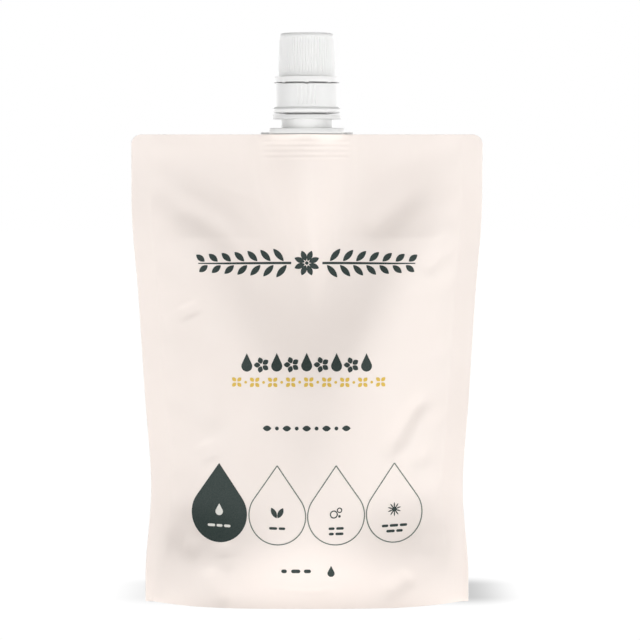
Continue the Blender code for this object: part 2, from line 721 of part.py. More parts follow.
def build_cap(parts, tools):
    """The screw cap: ribbed grip, flared skirt with its bridges, and an inside thread."""
    skirt = CAP_SKIRT_RADIUS
    grip = CAP_GRIP_DIAMETER / 2
    top = CAP_TOP_DIAMETER / 2
    skirt_top = CAP_BOTTOM + CAP_SKIRT_HEIGHT
    grip_bottom = skirt_top + CAP_SKIRT_FILLET
    grip_top = CAP_TOP - CAP_SHOULDER_RADIUS
    rings = [cap_ring(skirt, CAP_BOTTOM), cap_ring(skirt, skirt_top)]
    halfway = 1 - math.sqrt(0.5)
    fillet_radius = grip + (skirt - grip) * halfway
    rings.append(cap_ring(fillet_radius, skirt_top + CAP_SKIRT_FILLET * halfway))
    rings.append(cap_ring(grip, grip_bottom))
    rings.append(cap_ring(grip, grip_bottom + CAP_RIB_END, ribbed=True))
    rings.append(cap_ring(top, grip_top - CAP_RIB_END, ribbed=True))
    for i in range(ARC_STEPS + 1):
        angle = math.pi / 2 * i / ARC_STEPS
        inset = CAP_SHOULDER_RADIUS * (1 - math.cos(angle))
        rings.append(cap_ring(top - inset, grip_top + CAP_SHOULDER_RADIUS * math.sin(angle)))
    cap = loft("screw_cap", rings, parts, moulded_material("cap_plastic"))
    mouth = skirt - CAP_SKIRT_WALL
    cavity = [
        (0.0, CAP_CEILING),
        (CAP_BORE_RADIUS, CAP_CEILING),
        (CAP_BORE_RADIUS, skirt_top + CAP_SKIRT_WALL / 2),
        (mouth, skirt_top - CAP_SKIRT_WALL),
        (mouth, CAP_BOTTOM - BRIDGE_GAP),
        (0.0, CAP_BOTTOM - BRIDGE_GAP),
    ]
    combine(cap, turn("cap_cavity", cavity, TURN_STEPS, tools), "DIFFERENCE")
    ridge = thread_ridge(
        "cap_thread",
        CAP_BORE_RADIUS,
        CAP_BORE_RADIUS - THREAD_HEIGHT,
        CAP_THREAD_TURNS,
        CAP_THREAD_BOTTOM,
        tools,
    )
    combine(cap, ridge, "UNION")
    reach = CAP_BOTTOM - BRIDGE_GAP + FIT_GAP
    for i in range(BRIDGE_COUNT):
        angle = 2 * math.pi * i / BRIDGE_COUNT - math.pi / 2
        combine(cap, bridge(f"cap_bridge_{i + 1}", angle, reach, tools), "UNION")
    smooth(cap)
    return cap


def bridge(name, angle, reach, tools):
    """A tapered stub under the cap's skirt, what is left of its bridge to the tamper band."""
    outer = CAP_SKIRT_RADIUS - CAP_SKIRT_WALL / 4
    inner = CAP_SKIRT_RADIUS - CAP_SKIRT_WALL * 3 / 4
    levels = ((reach, BRIDGE_TIP_WIDTH / 2), (CAP_BOTTOM + CAP_SKIRT_WALL, BRIDGE_WIDTH / 2))
    spin = Matrix.Rotation(angle, 3, "Z")
    rings = []
    for z, half in levels:
        corners = ((inner, -half), (outer, -half), (outer, half), (inner, half))
        rings.append([spin @ Vector((x, y, z)) for x, y in corners])
    return loft(name, rings, tools)


def build_liner(parts):
    """The foam liner: a disc between the cap's ceiling and the tube's rim."""
    radius = CAP_BORE_RADIUS - FIT_GAP
    profile = [
        (0.0, LINER_TOP),
        (radius, LINER_TOP),
        (radius, LINER_TOP - LINER_THICKNESS),
        (0.0, LINER_TOP - LINER_THICKNESS),
    ]
    foam = make_material("liner_foam", (0.80, 0.81, 0.80), 0.7)
    return turn("cap_liner", profile, TURN_STEPS, parts, foam)


def main():
    """Clear the scene and build the pack."""
    for obj in list(bpy.data.objects):
        bpy.data.objects.remove(obj, do_unlink=True)
    parts = bpy.data.collections.new("soap_refill_pack")
    tools = bpy.data.collections.new("tool_shapes")
    bpy.context.scene.collection.children.link(parts)
    bpy.context.scene.collection.children.link(tools)
    build_pouch(parts, tools)
    build_spout(parts, tools)
    build_band(parts, tools)
    build_cap(parts, tools)
    build_liner(parts)


main()
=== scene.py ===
"""Looks of the hand soap refill pack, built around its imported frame.

The filled film pouch, its print, the moulded spout, the tamper band, the ribbed cap and the
foam liner are modelled here at their real size, in metres, where the frame has them.
"""

import logging
import math
from dataclasses import dataclass, field
from enum import Enum
from typing import Callable, Iterable, Sequence

import bmesh
import bpy
import numpy as np
from mathutils import Matrix, Vector


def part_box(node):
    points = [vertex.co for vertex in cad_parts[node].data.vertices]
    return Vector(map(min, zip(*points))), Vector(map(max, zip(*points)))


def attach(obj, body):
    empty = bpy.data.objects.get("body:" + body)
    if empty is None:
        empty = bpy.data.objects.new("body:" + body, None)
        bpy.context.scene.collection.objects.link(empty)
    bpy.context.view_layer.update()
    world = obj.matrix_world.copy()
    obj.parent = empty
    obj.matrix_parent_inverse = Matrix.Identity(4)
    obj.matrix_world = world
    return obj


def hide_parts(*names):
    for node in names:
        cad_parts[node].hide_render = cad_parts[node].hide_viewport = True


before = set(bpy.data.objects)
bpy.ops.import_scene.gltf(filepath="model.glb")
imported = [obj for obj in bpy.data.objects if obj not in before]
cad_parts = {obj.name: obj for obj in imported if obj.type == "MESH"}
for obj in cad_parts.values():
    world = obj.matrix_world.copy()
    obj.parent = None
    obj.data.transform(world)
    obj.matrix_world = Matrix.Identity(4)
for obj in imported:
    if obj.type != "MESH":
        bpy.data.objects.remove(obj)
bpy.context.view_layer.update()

MM = 0.001
FULL_TURN = 2 * math.pi
Z_AXIS = Vector((0.0, 0.0, 1.0))
MOST_ATTEMPTS = 8
LEAST_FACES_KEPT = 0.9

log = logging.getLogger("refill_pack")


def linear(code: str) -> tuple[float, float, float, float]:
    """Turn an sRGB hex colour into a linear one.

    Args:
        code: Six hex digits, such as "F7EEE8".

    Returns:
        Linear red, green and blue, with an alpha of 1.
    """
    channels = [int(code[i : i + 2], 16) / 255 for i in (0, 2, 4)]
    levels = [c / 12.92 if c <= 0.04045 else ((c + 0.055) / 1.055) ** 2.4 for c in channels]
    return (*levels, 1.0)


def add_node(
    tree: bpy.types.NodeTree, kind: str, inputs: dict[str | int, object], **settings: object
) -> bpy.types.Node:
    """Add a shader node with its settings, its constants and its links.

    Args:
        tree: The node tree that takes the node.
        kind: Blender's name of the node's type.
        inputs: For each input, a constant or the socket that feeds it.
        **settings: Properties of the node itself.

    Returns:
        The new node.
    """
    node = tree.nodes.new(kind)
    for name, value in settings.items():
        setattr(node, name, value)
    for name, value in inputs.items():
        if isinstance(value, bpy.types.NodeSocket):
            tree.links.new(value, node.inputs[name])
        else:
            node.inputs[name].default_value = value
    return node


def new_material(name: str) -> tuple[bpy.types.Material, bpy.types.NodeTree, bpy.types.Node]:
    """Make an empty node material.

    Args:
        name: The material's name.

    Returns:
        The material, its node tree and its output node.
    """
    material = bpy.data.materials.new(name)
    material.use_nodes = True
    tree = material.node_tree
    tree.nodes.clear()
    return material, tree, tree.nodes.new("ShaderNodeOutputMaterial")


def ease(t: np.ndarray | float) -> np.ndarray:
    """Turn 0..1 into a smooth rise with level ends, held outside that range."""
    return (1 - np.cos(np.pi * np.clip(t, 0.0, 1.0))) / 2


def curve_through(knots: Sequence[tuple[float, float]], t: np.ndarray) -> np.ndarray:
    """Read a smooth curve through knots, level at both ends.

    Args:
        knots: (place, value) pairs in rising order of place.
        t: The places to read.

    Returns:
        The values at those places.
    """
    places = np.array([k[0] for k in knots])
    values = np.array([k[1] for k in knots])
    steps = np.diff(values) / np.diff(places)
    slopes = np.zeros(len(knots))
    same_way = steps[:-1] * steps[1:] > 0
    total = np.where(same_way, steps[:-1] + steps[1:], 1.0)
    slopes[1:-1] = np.where(same_way, 2 * steps[:-1] * steps[1:] / total, 0.0)
    t = np.clip(t, places[0], places[-1])
    i = np.clip(np.searchsorted(places, t, side="right") - 1, 0, len(knots) - 2)
    span = places[i + 1] - places[i]
    s = (t - places[i]) / span
    start = values[i] * (1 + 2 * s) * (1 - s) ** 2
    end = values[i + 1] * (3 - 2 * s) * s**2
    bend = span * (slopes[i] * s * (1 - s) ** 2 - slopes[i + 1] * (1 - s) * s**2)
    return start + end + bend


def soft_max(a: np.ndarray, b: np.ndarray, blend: float) -> np.ndarray:
    """Give the larger of two values, rounded off where they are close."""
    overlap = np.clip(1 - np.abs(a - b) / blend, 0.0, None)
    return np.maximum(a, b) + blend * overlap**2 / 4


def smooth_path(points: Sequence[tuple[float, float]], steps: int = 6) -> np.ndarray:
    """Round a bent line off into a curve through its points.

    Args:
        points: The line's corners.
        steps: Pieces that each stretch is cut into.

    Returns:
        The curve's points, one a row.
    """
    knots = np.array([points[0], *points, points[-1]], float)
    curve = []
    for a, b, c, d in zip(knots, knots[1:], knots[2:], knots[3:]):
        for t in np.arange(steps) / steps:
            bend = (2 * a - 5 * b + 4 * c - d) * t**2 + (3 * b - a - 3 * c + d) * t**3
            curve.append(b + ((c - a) * t + bend) / 2)
    curve.append(knots[-1])
    return np.array(curve)


def finish_mesh(
    name: str, bm: bmesh.types.BMesh, material: bpy.types.Material, sharp_degrees: float = 35.0
) -> bpy.types.Object:
    """Turn a bmesh into a shaded piece whose place is in its mesh.

    Args:
        name: The piece's name.
        bm: The finished bmesh, which is freed.
        material: The piece's finish.
        sharp_degrees: Edges that bend more than this stay crisp.

    Returns:
        The piece's object.
    """
    bmesh.ops.recalc_face_normals(bm, faces=bm.faces)
    mesh = bpy.data.meshes.new(name)
    bm.to_mesh(mesh)
    bm.free()
    mesh.materials.append(material)
    mesh.shade_smooth()
    mesh.set_sharp_from_angle(angle=math.radians(sharp_degrees))
    piece = bpy.data.objects.new(name, mesh)
    bpy.context.scene.collection.objects.link(piece)
    return piece


def covers(mesh: bpy.types.Mesh, *parts: bpy.types.Mesh) -> bool:
    """Tell whether a mesh reaches as far as each of its parts.

    Args:
        mesh: The joined or cut mesh.
        parts: The meshes that it has to reach as far as.

    Returns:
        False if a part is missing from the mesh.
    """
    if not mesh.vertices:
        return False
    slack = 0.02 * MM
    own = np.array([vert.co for vert in mesh.vertices])
    for part in parts:
        places = np.array([vert.co for vert in part.vertices])
        if (own.min(axis=0) > places.min(axis=0) + slack).any():
            return False
        if (own.max(axis=0) < places.max(axis=0) - slack).any():
            return False
    return True


def combine(piece: bpy.types.Object, tool: bmesh.types.BMesh, operation: str) -> None:
    """Join a tool shape to a piece or cut it out, and keep the result as the piece's mesh.

    The exact solver now and then drops one of the two shapes, so its result is checked and
    the step is done again if a shape is missing.

    Args:
        piece: The piece to change.
        tool: The closed tool shape, which is freed.
        operation: UNION or DIFFERENCE.
    """
    bmesh.ops.recalc_face_normals(tool, faces=tool.faces)
    mesh = bpy.data.meshes.new("tool_shape")
    tool.to_mesh(mesh)
    tool.free()
    shape = bpy.data.objects.new("tool_shape", mesh)
    bpy.context.scene.collection.objects.link(shape)
    before = piece.data.copy()
    parts = (before, mesh) if operation == "UNION" else (before,)
    for attempt in range(1, MOST_ATTEMPTS + 1):
        change = piece.modifiers.new("Shape", "BOOLEAN")
        change.operation = operation
        change.object = shape
        change.solver = "EXACT"
        with bpy.context.temp_override(object=piece, active_object=piece):
            bpy.ops.object.modifier_apply(modifier=change.name)
        whole = len(piece.data.polygons) > LEAST_FACES_KEPT * len(before.polygons)
        if whole and covers(piece.data, *parts):
            break
        log.info("%s: %s failed, attempt %d", piece.name, operation, attempt)
        piece.data = before.copy()
    else:
        log.warning("%s: %s left out, no attempt was whole", piece.name, operation)
    bpy.data.objects.remove(shape)


def round_corners(
    corners: Sequence[tuple[float, float, float]], steps: int = 4
) -> list[tuple[float, float]]:
    """Round the corners of an outline off.

    Args:
        corners: Rows of radius, height and the length that the rounding takes off each side.
        steps: Pieces in each rounded corner.

    Returns:
        The outline's (radius, height) points.
    """
    points = []
    for i, (radius, height, rounding) in enumerate(corners):
        corner = np.array((radius, height))
        if not rounding:
            points.append((radius, height))
            continue
        before = np.array(corners[i - 1][:2]) - corner
        after = np.array(corners[i + 1][:2]) - corner
        start = before / np.hypot(*before) * rounding
        end = after / np.hypot(*after) * rounding
        for t in np.linspace(0.0, 1.0, steps + 1):
            points.append(tuple(corner + (1 - t) ** 2 * start + t**2 * end))
    return points


def turn_outline(outline: Sequence[tuple[float, float]], steps: int) -> bmesh.types.BMesh:
    """Turn an outline about the Z axis into a closed shape.

    Args:
        outline: (radius, height) points that start and end on the axis or at one point.
        steps: Pieces in the full turn.

    Returns:
        The turned shape.
    """
    bm = bmesh.new()
    verts = [bm.verts.new((radius, 0.0, height)) for radius, height in outline]
    edges = [bm.edges.new(pair) for pair in zip(verts, verts[1:])]
    bmesh.ops.spin(
        bm,
        geom=verts + edges,
        cent=(0.0, 0.0, 0.0),
        axis=Z_AXIS,
        angle=FULL_TURN,
        steps=steps,
        use_merge=True,
    )
    bmesh.ops.remove_doubles(bm, verts=bm.verts, dist=0.002 * MM)
    return bm


def stack_levels(
    outline: Callable[[float], Sequence[tuple[float, float]]],
    levels: Sequence[tuple[float, float]],
) -> bmesh.types.BMesh:
    """Raise an outline through a stack of levels into a closed shape.

    Args:
        outline: Gives the (x, y) points for an inset, always as many.
        levels: (inset, height) rows from bottom to top.

    Returns:
        The raised shape.
    """
    bm = bmesh.new()
    inset, height = levels[0]
    top = bm.faces.new([bm.verts.new((x, y, height)) for x, y in outline(inset)])
    for inset, height in levels[1:]:
        raised = bmesh.ops.extrude_face_region(bm, geom=[top])["geom"]
        top = next(item for item in raised if isinstance(item, bmesh.types.BMFace))
        for vert, (x, y) in zip(top.verts, outline(inset)):
            vert.co = (x, y, height)
    return bm


@dataclass(frozen=True)
class ScrewThread:
    """The right-hand thread that the spout and the cap share."""

    lead: float = 3 * MM
    height: float = 0.8 * MM
    root_width: float = 1.3 * MM
    crest_width: float = 0.6 * MM
    run_out_turns: float = 0.12
    steps_per_turn: int = 96

    def ridge(self, root: float, outward: float, turns: float, bottom: float) -> bmesh.types.BMesh:
        """Wind the ridge of the thread, sunk a little into its wall.

        Args:
            root: The wall's radius.
            outward: 1 for a thread on the outside of a wall and -1 for one inside.
            turns: The number of turns.
            bottom: The height at which the thread starts.

        Returns:
            The closed ridge.
        """
        sunk = root - outward * self.height / 2
        crest = root + outward * self.height
        section = [
            (sunk, -self.root_width / 2),
            (crest, -self.crest_width / 2),
            (crest, self.crest_width / 2),
            (sunk, self.root_width / 2),
        ]
        bm = bmesh.new()
        verts = [bm.verts.new((radius, 0.0, bottom + rise)) for radius, rise in section]
        edges = [bm.edges.new(pair) for pair in zip(verts, verts[1:] + verts[:1])]
        steps = round(turns * self.steps_per_turn)
        bmesh.ops.spin(
            bm,
            geom=verts + edges,
            cent=(0.0, 0.0, 0.0),
            axis=Z_AXIS,
            angle=FULL_TURN * turns,
            steps=steps,
            dvec=(0.0, 0.0, self.lead * turns / steps),
        )
        bmesh.ops.holes_fill(bm, edges=[edge for edge in bm.edges if edge.is_boundary])
        for vert in bm.verts:
            share = (math.atan2(vert.co.y, vert.co.x) / FULL_TURN) % 1.0
            past = round((vert.co.z - bottom) / self.lead - share)
            from_end = min(share + past, turns - share - past)
            fade = 0.05 + 0.95 * float(ease(from_end / self.run_out_turns))
            radius = math.hypot(vert.co.x, vert.co.y)
            reach = (sunk + (radius - sunk) * fade) / radius
            vert.co.x *= reach
            vert.co.y *= reach
        return bm


def place_piece(piece: bpy.types.Object, body: str, slot: str, *nodes: str) -> None:
    """Fix a piece to its body and hide the frame's nodes that it replaces.

    Args:
        piece: The finished piece.
        body: The body that it moves with.
        slot: Not used.
        *nodes: The frame's nodes that it replaces.
    """
    if nodes:
        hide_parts(*nodes)
    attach(piece, body)
    log.info("%s: %d faces on %s", piece.name, len(piece.data.polygons), body)


@dataclass(frozen=True)
class FilmFinish:
    """Laminated polyethylene film, blown and matt coated: warm white with a soft sheen."""

    name: str = "matt_laminated_polyethylene_film"
    colour: str = "FBF2EC"
    thick_spot_colour: str = "F7ECE5"
    roughness: float = 0.42
    specular: float = 0.35
    spot_size: float = 30 * MM
    wave_size: float = 9 * MM
    wave_height: float = 0.06 * MM
    grain_size: float = 0.7 * MM
    grain_height: float = 0.006 * MM

    def material(self) -> bpy.types.Material:
        """Build the film's material.

        Returns:
            A material whose slow waves and fine orange peel break up the highlights.
        """
        material, tree, output = new_material(self.name)
        place = add_node(tree, "ShaderNodeTexCoord", {}).outputs["Object"]
        spots = add_node(
            tree,
            "ShaderNodeTexNoise",
            {"Vector": place, "Scale": 1 / self.spot_size, "Detail": 3.0, "Roughness": 0.5},
        )
        colour = add_node(
            tree,
            "ShaderNodeMix",
            {
                0: spots.outputs["Fac"],
                6: linear(self.colour),
                7: linear(self.thick_spot_colour),
            },
            data_type="RGBA",
        )
        waves = add_node(
            tree,
            "ShaderNodeTexNoise",
            {"Vector": place, "Scale": 1 / self.wave_size, "Detail": 2.0},
        )
        grain = add_node(
            tree,
            "ShaderNodeTexNoise",
            {"Vector": place, "Scale": 1 / self.grain_size, "Detail": 2.0},
        )
        wave_bump = add_node(
            tree,
            "ShaderNodeBump",
            {"Height": waves.outputs["Fac"], "Distance": self.wave_height, "Strength": 1.0},
        )
        grain_bump = add_node(
            tree,
            "ShaderNodeBump",
            {
                "Height": grain.outputs["Fac"],
                "Distance": self.grain_height,
                "Strength": 1.0,
                "Normal": wave_bump.outputs["Normal"],
            },
        )
        shader = add_node(
            tree,
            "ShaderNodeBsdfPrincipled",
            {
                "Base Color": colour.outputs[2],
                "Roughness": self.roughness,
                "Specular IOR Level": self.specular,
                "Normal": grain_bump.outputs["Normal"],
            },
        )
        tree.links.new(shader.outputs["BSDF"], output.inputs["Surface"])
        return material


class Moulding(Enum):
    """The moulded plastics of the closure: base colour, roughness and grain size."""

    CAP = ("injection_moulded_polypropylene_cap", "F2F2F1", 0.34, 0.35 * MM)
    BAND = ("injection_moulded_polypropylene_band", "F1F1F0", 0.30, 0.35 * MM)
    # The spout's greyer colour is painted shade: it darkens the whole spout to stand in for the
    # shade on the neck under the upper flange.
    SPOUT = ("injection_moulded_polyethylene_spout", "E6E6E5", 0.38, 0.5 * MM)


@dataclass(frozen=True)
class MouldedPlastic:
    """White moulded plastic: slightly milky, with a fine satin grain from the tool."""

    kind: Moulding
    grain_height: float = 0.004 * MM
    flow_size: float = 6 * MM
    flow_height: float = 0.012 * MM
    subsurface: float = 0.12
    scatter_radius: float = 0.8 * MM

    def material(self) -> bpy.types.Material:
        """Build the plastic's material.

        Returns:
            A material with faint flow marks and a fine satin grain.
        """
        name, colour, roughness, grain_size = self.kind.value
        material, tree, output = new_material(name)
        place = add_node(tree, "ShaderNodeTexCoord", {}).outputs["Object"]
        flow = add_node(
            tree,
            "ShaderNodeTexNoise",
            {"Vector": place, "Scale": 1 / self.flow_size, "Detail": 1.0},
        )
        grain = add_node(
            tree,
            "ShaderNodeTexNoise",
            {"Vector": place, "Scale": 1 / grain_size, "Detail": 2.0},
        )
        flow_bump = add_node(
            tree,
            "ShaderNodeBump",
            {"Height": flow.outputs["Fac"], "Distance": self.flow_height, "Strength": 1.0},
        )
        grain_bump = add_node(
            tree,
            "ShaderNodeBump",
            {
                "Height": grain.outputs["Fac"],
                "Distance": self.grain_height,
                "Strength": 1.0,
                "Normal": flow_bump.outputs["Normal"],
            },
        )
        shader = add_node(
            tree,
            "ShaderNodeBsdfPrincipled",
            {
                "Base Color": linear(colour),
                "Roughness": roughness,
                "Subsurface Weight": self.subsurface,
                "Subsurface Radius": (self.scatter_radius,) * 3,
                "Subsurface Scale": 1.0,
                "Normal": grain_bump.outputs["Normal"],
            },
        )
        tree.links.new(shader.outputs["BSDF"], output.inputs["Surface"])
        return material


@dataclass(frozen=True)
class Fold:
    """A soft fold in the film along a bent line, in metres on the front or the back.

    The fold is pushed in by its depth. Its ridge is the share of that depth that stands
    proud beside it, on the left of the line's run.
    """

    path: tuple[tuple[float, float], ...]
    depth: float
    width: float
    ridge: float = 0.0
    sharpness: float = 2.0

    def relief(self, x: np.ndarray, z: np.ndarray) -> np.ndarray:
        """Work out how far the fold pushes the film in.

        Args:
            x: Places across the pouch.
            z: Heights on the pouch.

        Returns:
            The inward push at each place.
        """
        curve = smooth_path([(a * MM, b * MM) for a, b in self.path])
        runs = np.diff(curve, axis=0)
        lengths = np.hypot(runs[:, 0], runs[:, 1])
        starts = np.concatenate([[0.0], np.cumsum(lengths)])
        nearest = np.full(x.shape, np.inf)
        signed = np.zeros(x.shape)
        travelled = np.zeros(x.shape)
        for corner, run, length, start in zip(curve, runs, lengths, starts):
            dx, dz = x - corner[0], z - corner[1]
            along = np.clip((dx * run[0] + dz * run[1]) / length, 0.0, length)
            off_x = dx - run[0] / length * along
            off_z = dz - run[1] / length * along
            distance = np.hypot(off_x, off_z)
            side = np.sign(run[0] * dz - run[1] * dx)
            closer = distance < nearest
            nearest = np.where(closer, distance, nearest)
            signed = np.where(closer, side * distance, signed)
            travelled = np.where(closer, start + along, travelled)
        share = travelled / starts[-1]
        taper = ease(share / 0.3) * ease((1 - share) / 0.3)
        width = self.width * MM
        groove = np.exp(-((np.abs(signed) / width) ** self.sharpness))
        ridge = self.ridge * np.exp(-(((signed - 1.6 * width) / width) ** 2))
        return self.depth * MM * taper * (groove - ridge)


# Folds of the front film, in millimetres: path, depth, width, ridge and sharpness
FRONT_FOLDS = (
    Fold(((-61, 159), (-50, 157), (-40, 153), (-33, 146), (-29, 138)), 1.0, 4.5, 0.4),
    Fold(((-54, 174), (-43, 168), (-30, 159)), 0.6, 5.0),
    Fold(((-40, 169), (-25, 163), (-9, 158)), 0.35, 1.8, 0.4, 1.5),
    Fold(((46, 173), (39, 163), (30, 153), (21, 145)), 1.0, 5.0, 0.3),
    Fold(((58, 142), (52, 137), (46, 131)), 0.7, 3.2, 0.5, 1.6),
    Fold(((57, 149), (54, 145), (51, 142)), 0.5, 2.2, 0.4, 1.6),
    Fold(((-49, 120), (-46, 114)), 0.5, 5.0),
    Fold(((-44, 94), (-40, 80), (-37, 68)), 0.6, 6.5, 0.3),
    Fold(((-41, 66), (-37, 57)), 0.4, 5.0),
    Fold(((52, 85), (44, 79), (39, 72), (34, 63), (31, 57)), 1.4, 3.4, 0.5, 1.7),
    Fold(((56, 71), (51, 63), (43, 54)), 0.9, 3.0, 0.5, 1.7),
    Fold(((-39, 17), (-37, 10), (-34, 4), (-31, 0)), 0.9, 3.8, 0.5),
    Fold(((-50, 24), (-42, 22)), 0.5, 4.0),
    Fold(((-33, 26), (-32, 20)), 0.35, 3.2),
    Fold(((43, 14), (36, 9), (28, 5)), 0.8, 3.6, 0.5),
    Fold(((44, 24), (53, 24), (61, 24)), 0.4, 3.5),
    Fold(((-17, 9.0), (0, 7.0), (15, 8.6)), 0.25, 1.0, 0.3, 1.6),
)
# Folds of the back film, in millimetres
BACK_FOLDS = (
    Fold(((-60, 157), (-47, 154), (-36, 149), (-27, 140)), 1.4, 4.5, 0.3),
    Fold(((59, 160), (48, 157), (37, 152), (30, 143)), 1.3, 4.8, 0.3),
    Fold(((12, 159), (24, 163), (38, 168)), 0.35, 2.0, 0.4, 1.5),
    Fold(((-54, 138), (-47, 131), (-42, 122)), 0.8, 3.4, 0.4, 1.7),
    Fold(((-53, 86), (-45, 78), (-37, 66), (-34, 58)), 0.9, 3.8, 0.5, 1.7),
    Fold(((46, 92), (42, 78), (40, 66)), 0.6, 6.0, 0.3),
    Fold(((38, 17), (37, 9), (33, 1)), 0.8, 3.8, 0.4),
    Fold(((-45, 15), (-36, 9), (-28, 5)), 0.7, 3.6, 0.4),
    Fold(((-15, 8.8), (0, 7.0), (16, 8.8)), 0.25, 1.0, 0.3, 1.6),
)

# Section of the gusset from the middle out to the skirt, as shares of its reach and its rise
GUSSET_SECTION = (
    (1.0, 0.0), (0.75, 0.0), (0.50, 0.0), (0.42, 0.05), (0.34, 0.22), (0.25, 0.52),
    (0.16, 0.80), (0.08, 0.95), (0.02, 1.0), (0.0, 0.6), (0.0, 0.0),
)


@dataclass
class FilledPouch:
    """The filled film pouch: its outline, its seals, its body and its folds."""

    height: float = 187.25 * MM
    base_width: float = 130 * MM
    waist_width: float = 125.2 * MM
    hip_width: float = 129.7 * MM
    chest_width: float = 134.6 * MM
    top_width: float = 140 * MM
    waist_height: float = 46 * MM
    hip_height: float = 82 * MM
    chest_height: float = 122 * MM
    shoulder_height: float = 162 * MM
    corner_radius: float = 4 * MM
    seal_thickness: float = 0.5 * MM
    side_seal: float = 8 * MM
    top_seal: float = 7 * MM
    base_seal: float = 9 * MM
    base_tack: float = 2.3 * MM
    base_blend: float = 46 * MM
    base_squareness: float = 3.6
    depth_knots: tuple[tuple[float, float], ...] = (
        (0.0, 19.3 * MM),
        (28 * MM, 24.4 * MM),
        (82 * MM, 17.8 * MM),
        (122 * MM, 7.4 * MM),
        (146 * MM, 3.4 * MM),
        (180.25 * MM, 0.25 * MM),
    )
    shoulder_lift: float = 38 * MM
    lift_run: float = 56 * MM
    lift_start: float = 45 * MM
    lift_rise: float = 60 * MM
    lift_fade: float = 34 * MM
    side_slope: float = 0.54
    side_blend: float = 8 * MM
    boat_half_length: float = 19 * MM
    boat_half_depth: float = 8.9 * MM
    boat_tip: float = 0.6 * MM
    boat_bottom: float = 177.25 * MM
    bulge_foot_run: float = 56 * MM
    bulge_blend: float = 4 * MM
    bulge_foot_share: float = 0.56
    bulge_foot_width_share: float = 0.40
    bulge_foot_offset: float = 4 * MM
    bulge_side_fade: float = 4 * MM
    fold_free_depth: float = 7 * MM
    boat_ribs: int = 4
    rib_pitch: float = 2.1 * MM
    rib_relief: float = 0.16 * MM
    rib_width: float = 0.5 * MM
    rib_start: float = 0.4
    rib_reach: float = 15 * MM
    rib_fade: float = 4 * MM
    pucker_depth: float = 0.28 * MM
    pucker_start: float = 2 * MM
    pucker_fade: float = 9 * MM
    pucker_slant: float = 0.35
    pucker_waves: tuple[float, float] = (2.9 * MM, 8.7 * MM)
    pucker_phases: tuple[float, float] = (1.3, 4.1)
    mark_depth: float = 0.12 * MM
    side_mark: tuple[float, float] = (0.9 * MM, 0.35 * MM)
    top_mark: tuple[float, float] = (1.0 * MM, 0.4 * MM)
    lean_depth: float = 0.55 * MM
    lean_waves: tuple[float, float] = (21 * MM, 9.5 * MM)
    lean_start: float = 20 * MM
    fit_gap: float = 0.3 * MM
    skirt: float = 0.9 * MM
    gusset_rise: float = 6 * MM
    gusset_gap: float = 0.4 * MM
    half_columns: int = 70
    body_row: float = 0.85 * MM
    rows_over_boat: int = 34
    seal_columns: tuple[float, ...] = (
        0.4, 0.8, 1.2, 1.8, 2.6, 3.6, 4.6, 5.6, 6.6, 7.3, 7.8, 8.0
    )
    film: FilmFinish = field(default_factory=FilmFinish)

    def edge_half_width(self, z: np.ndarray) -> np.ndarray:
        """Read half the pouch's width at each height, before its top corners are rounded.

        Args:
            z: Heights on the pouch.

        Returns:
            Half the width at each height.
        """
        return curve_through(
            (
                (self.base_seal, self.base_width / 2),
                (self.waist_height, self.waist_width / 2),
                (self.hip_height, self.hip_width / 2),
                (self.chest_height, self.chest_width / 2),
                (self.shoulder_height, self.top_width / 2),
            ),
            z,
        )

    def corner_trim(self, z: np.ndarray) -> np.ndarray:
        """Read how much the rounded top corners take off each side."""
        above = np.clip(z - (self.height - self.corner_radius), 0.0, self.corner_radius)
        return self.corner_radius - np.sqrt(self.corner_radius**2 - above**2)

    def boat_depth(self, x: np.ndarray) -> np.ndarray:
        """Read half the depth of the spout's boat at each x."""
        swell = 1 - ease(np.abs(x) / self.boat_half_length)
        return self.boat_tip + (self.boat_half_depth - self.boat_tip) * swell

    def bulge_depth(self, x: np.ndarray, z: np.ndarray) -> np.ndarray:
        """Read the film's depth where it wraps the boat, fading out below it.

        Args:
            x: Places across the pouch.
            z: Heights on the pouch.

        Returns:
            The half depth of the bulge at each place.
        """
        sunk = ease((self.boat_bottom - z) / self.bulge_foot_run)
        end = self.boat_half_length + self.fit_gap
        aside = np.abs(x - self.bulge_foot_offset * sunk)
        reach = aside / (1 - (1 - self.bulge_foot_width_share) * sunk)
        inside = np.minimum(reach, end) * self.boat_half_length / end
        wrapped = self.boat_depth(inside) + self.fit_gap + self.seal_thickness
        beside = ease((reach - end) / self.bulge_side_fade)
        flat = self.seal_thickness / 2
        bulge = wrapped + (flat - wrapped) * beside
        return flat + (bulge - flat) * (1 - (1 - self.bulge_foot_share) * sunk)

    def body_depth(self, x: np.ndarray, z: np.ndarray) -> np.ndarray:
        """Read the depth of the filled body: a middle that two side planes run up to.

        Args:
            x: Places across the pouch.
            z: Heights on the pouch.

        Returns:
            The half depth of the body at each place.
        """
        seal_edge = self.edge_half_width(z) - self.side_seal
        side = self.side_slope * np.clip(seal_edge - np.abs(x), 0.0, None)
        upward = ease((z - self.lift_start) / self.lift_rise)
        fade = np.clip((self.height - self.top_seal - z) / self.lift_fade, 0.0, 1.0)
        lift = self.shoulder_lift * ease(np.abs(x) / self.lift_run) * upward * fade
        middle = curve_through(self.depth_knots, z - lift)
        return -soft_max(-side, -middle, self.side_blend)

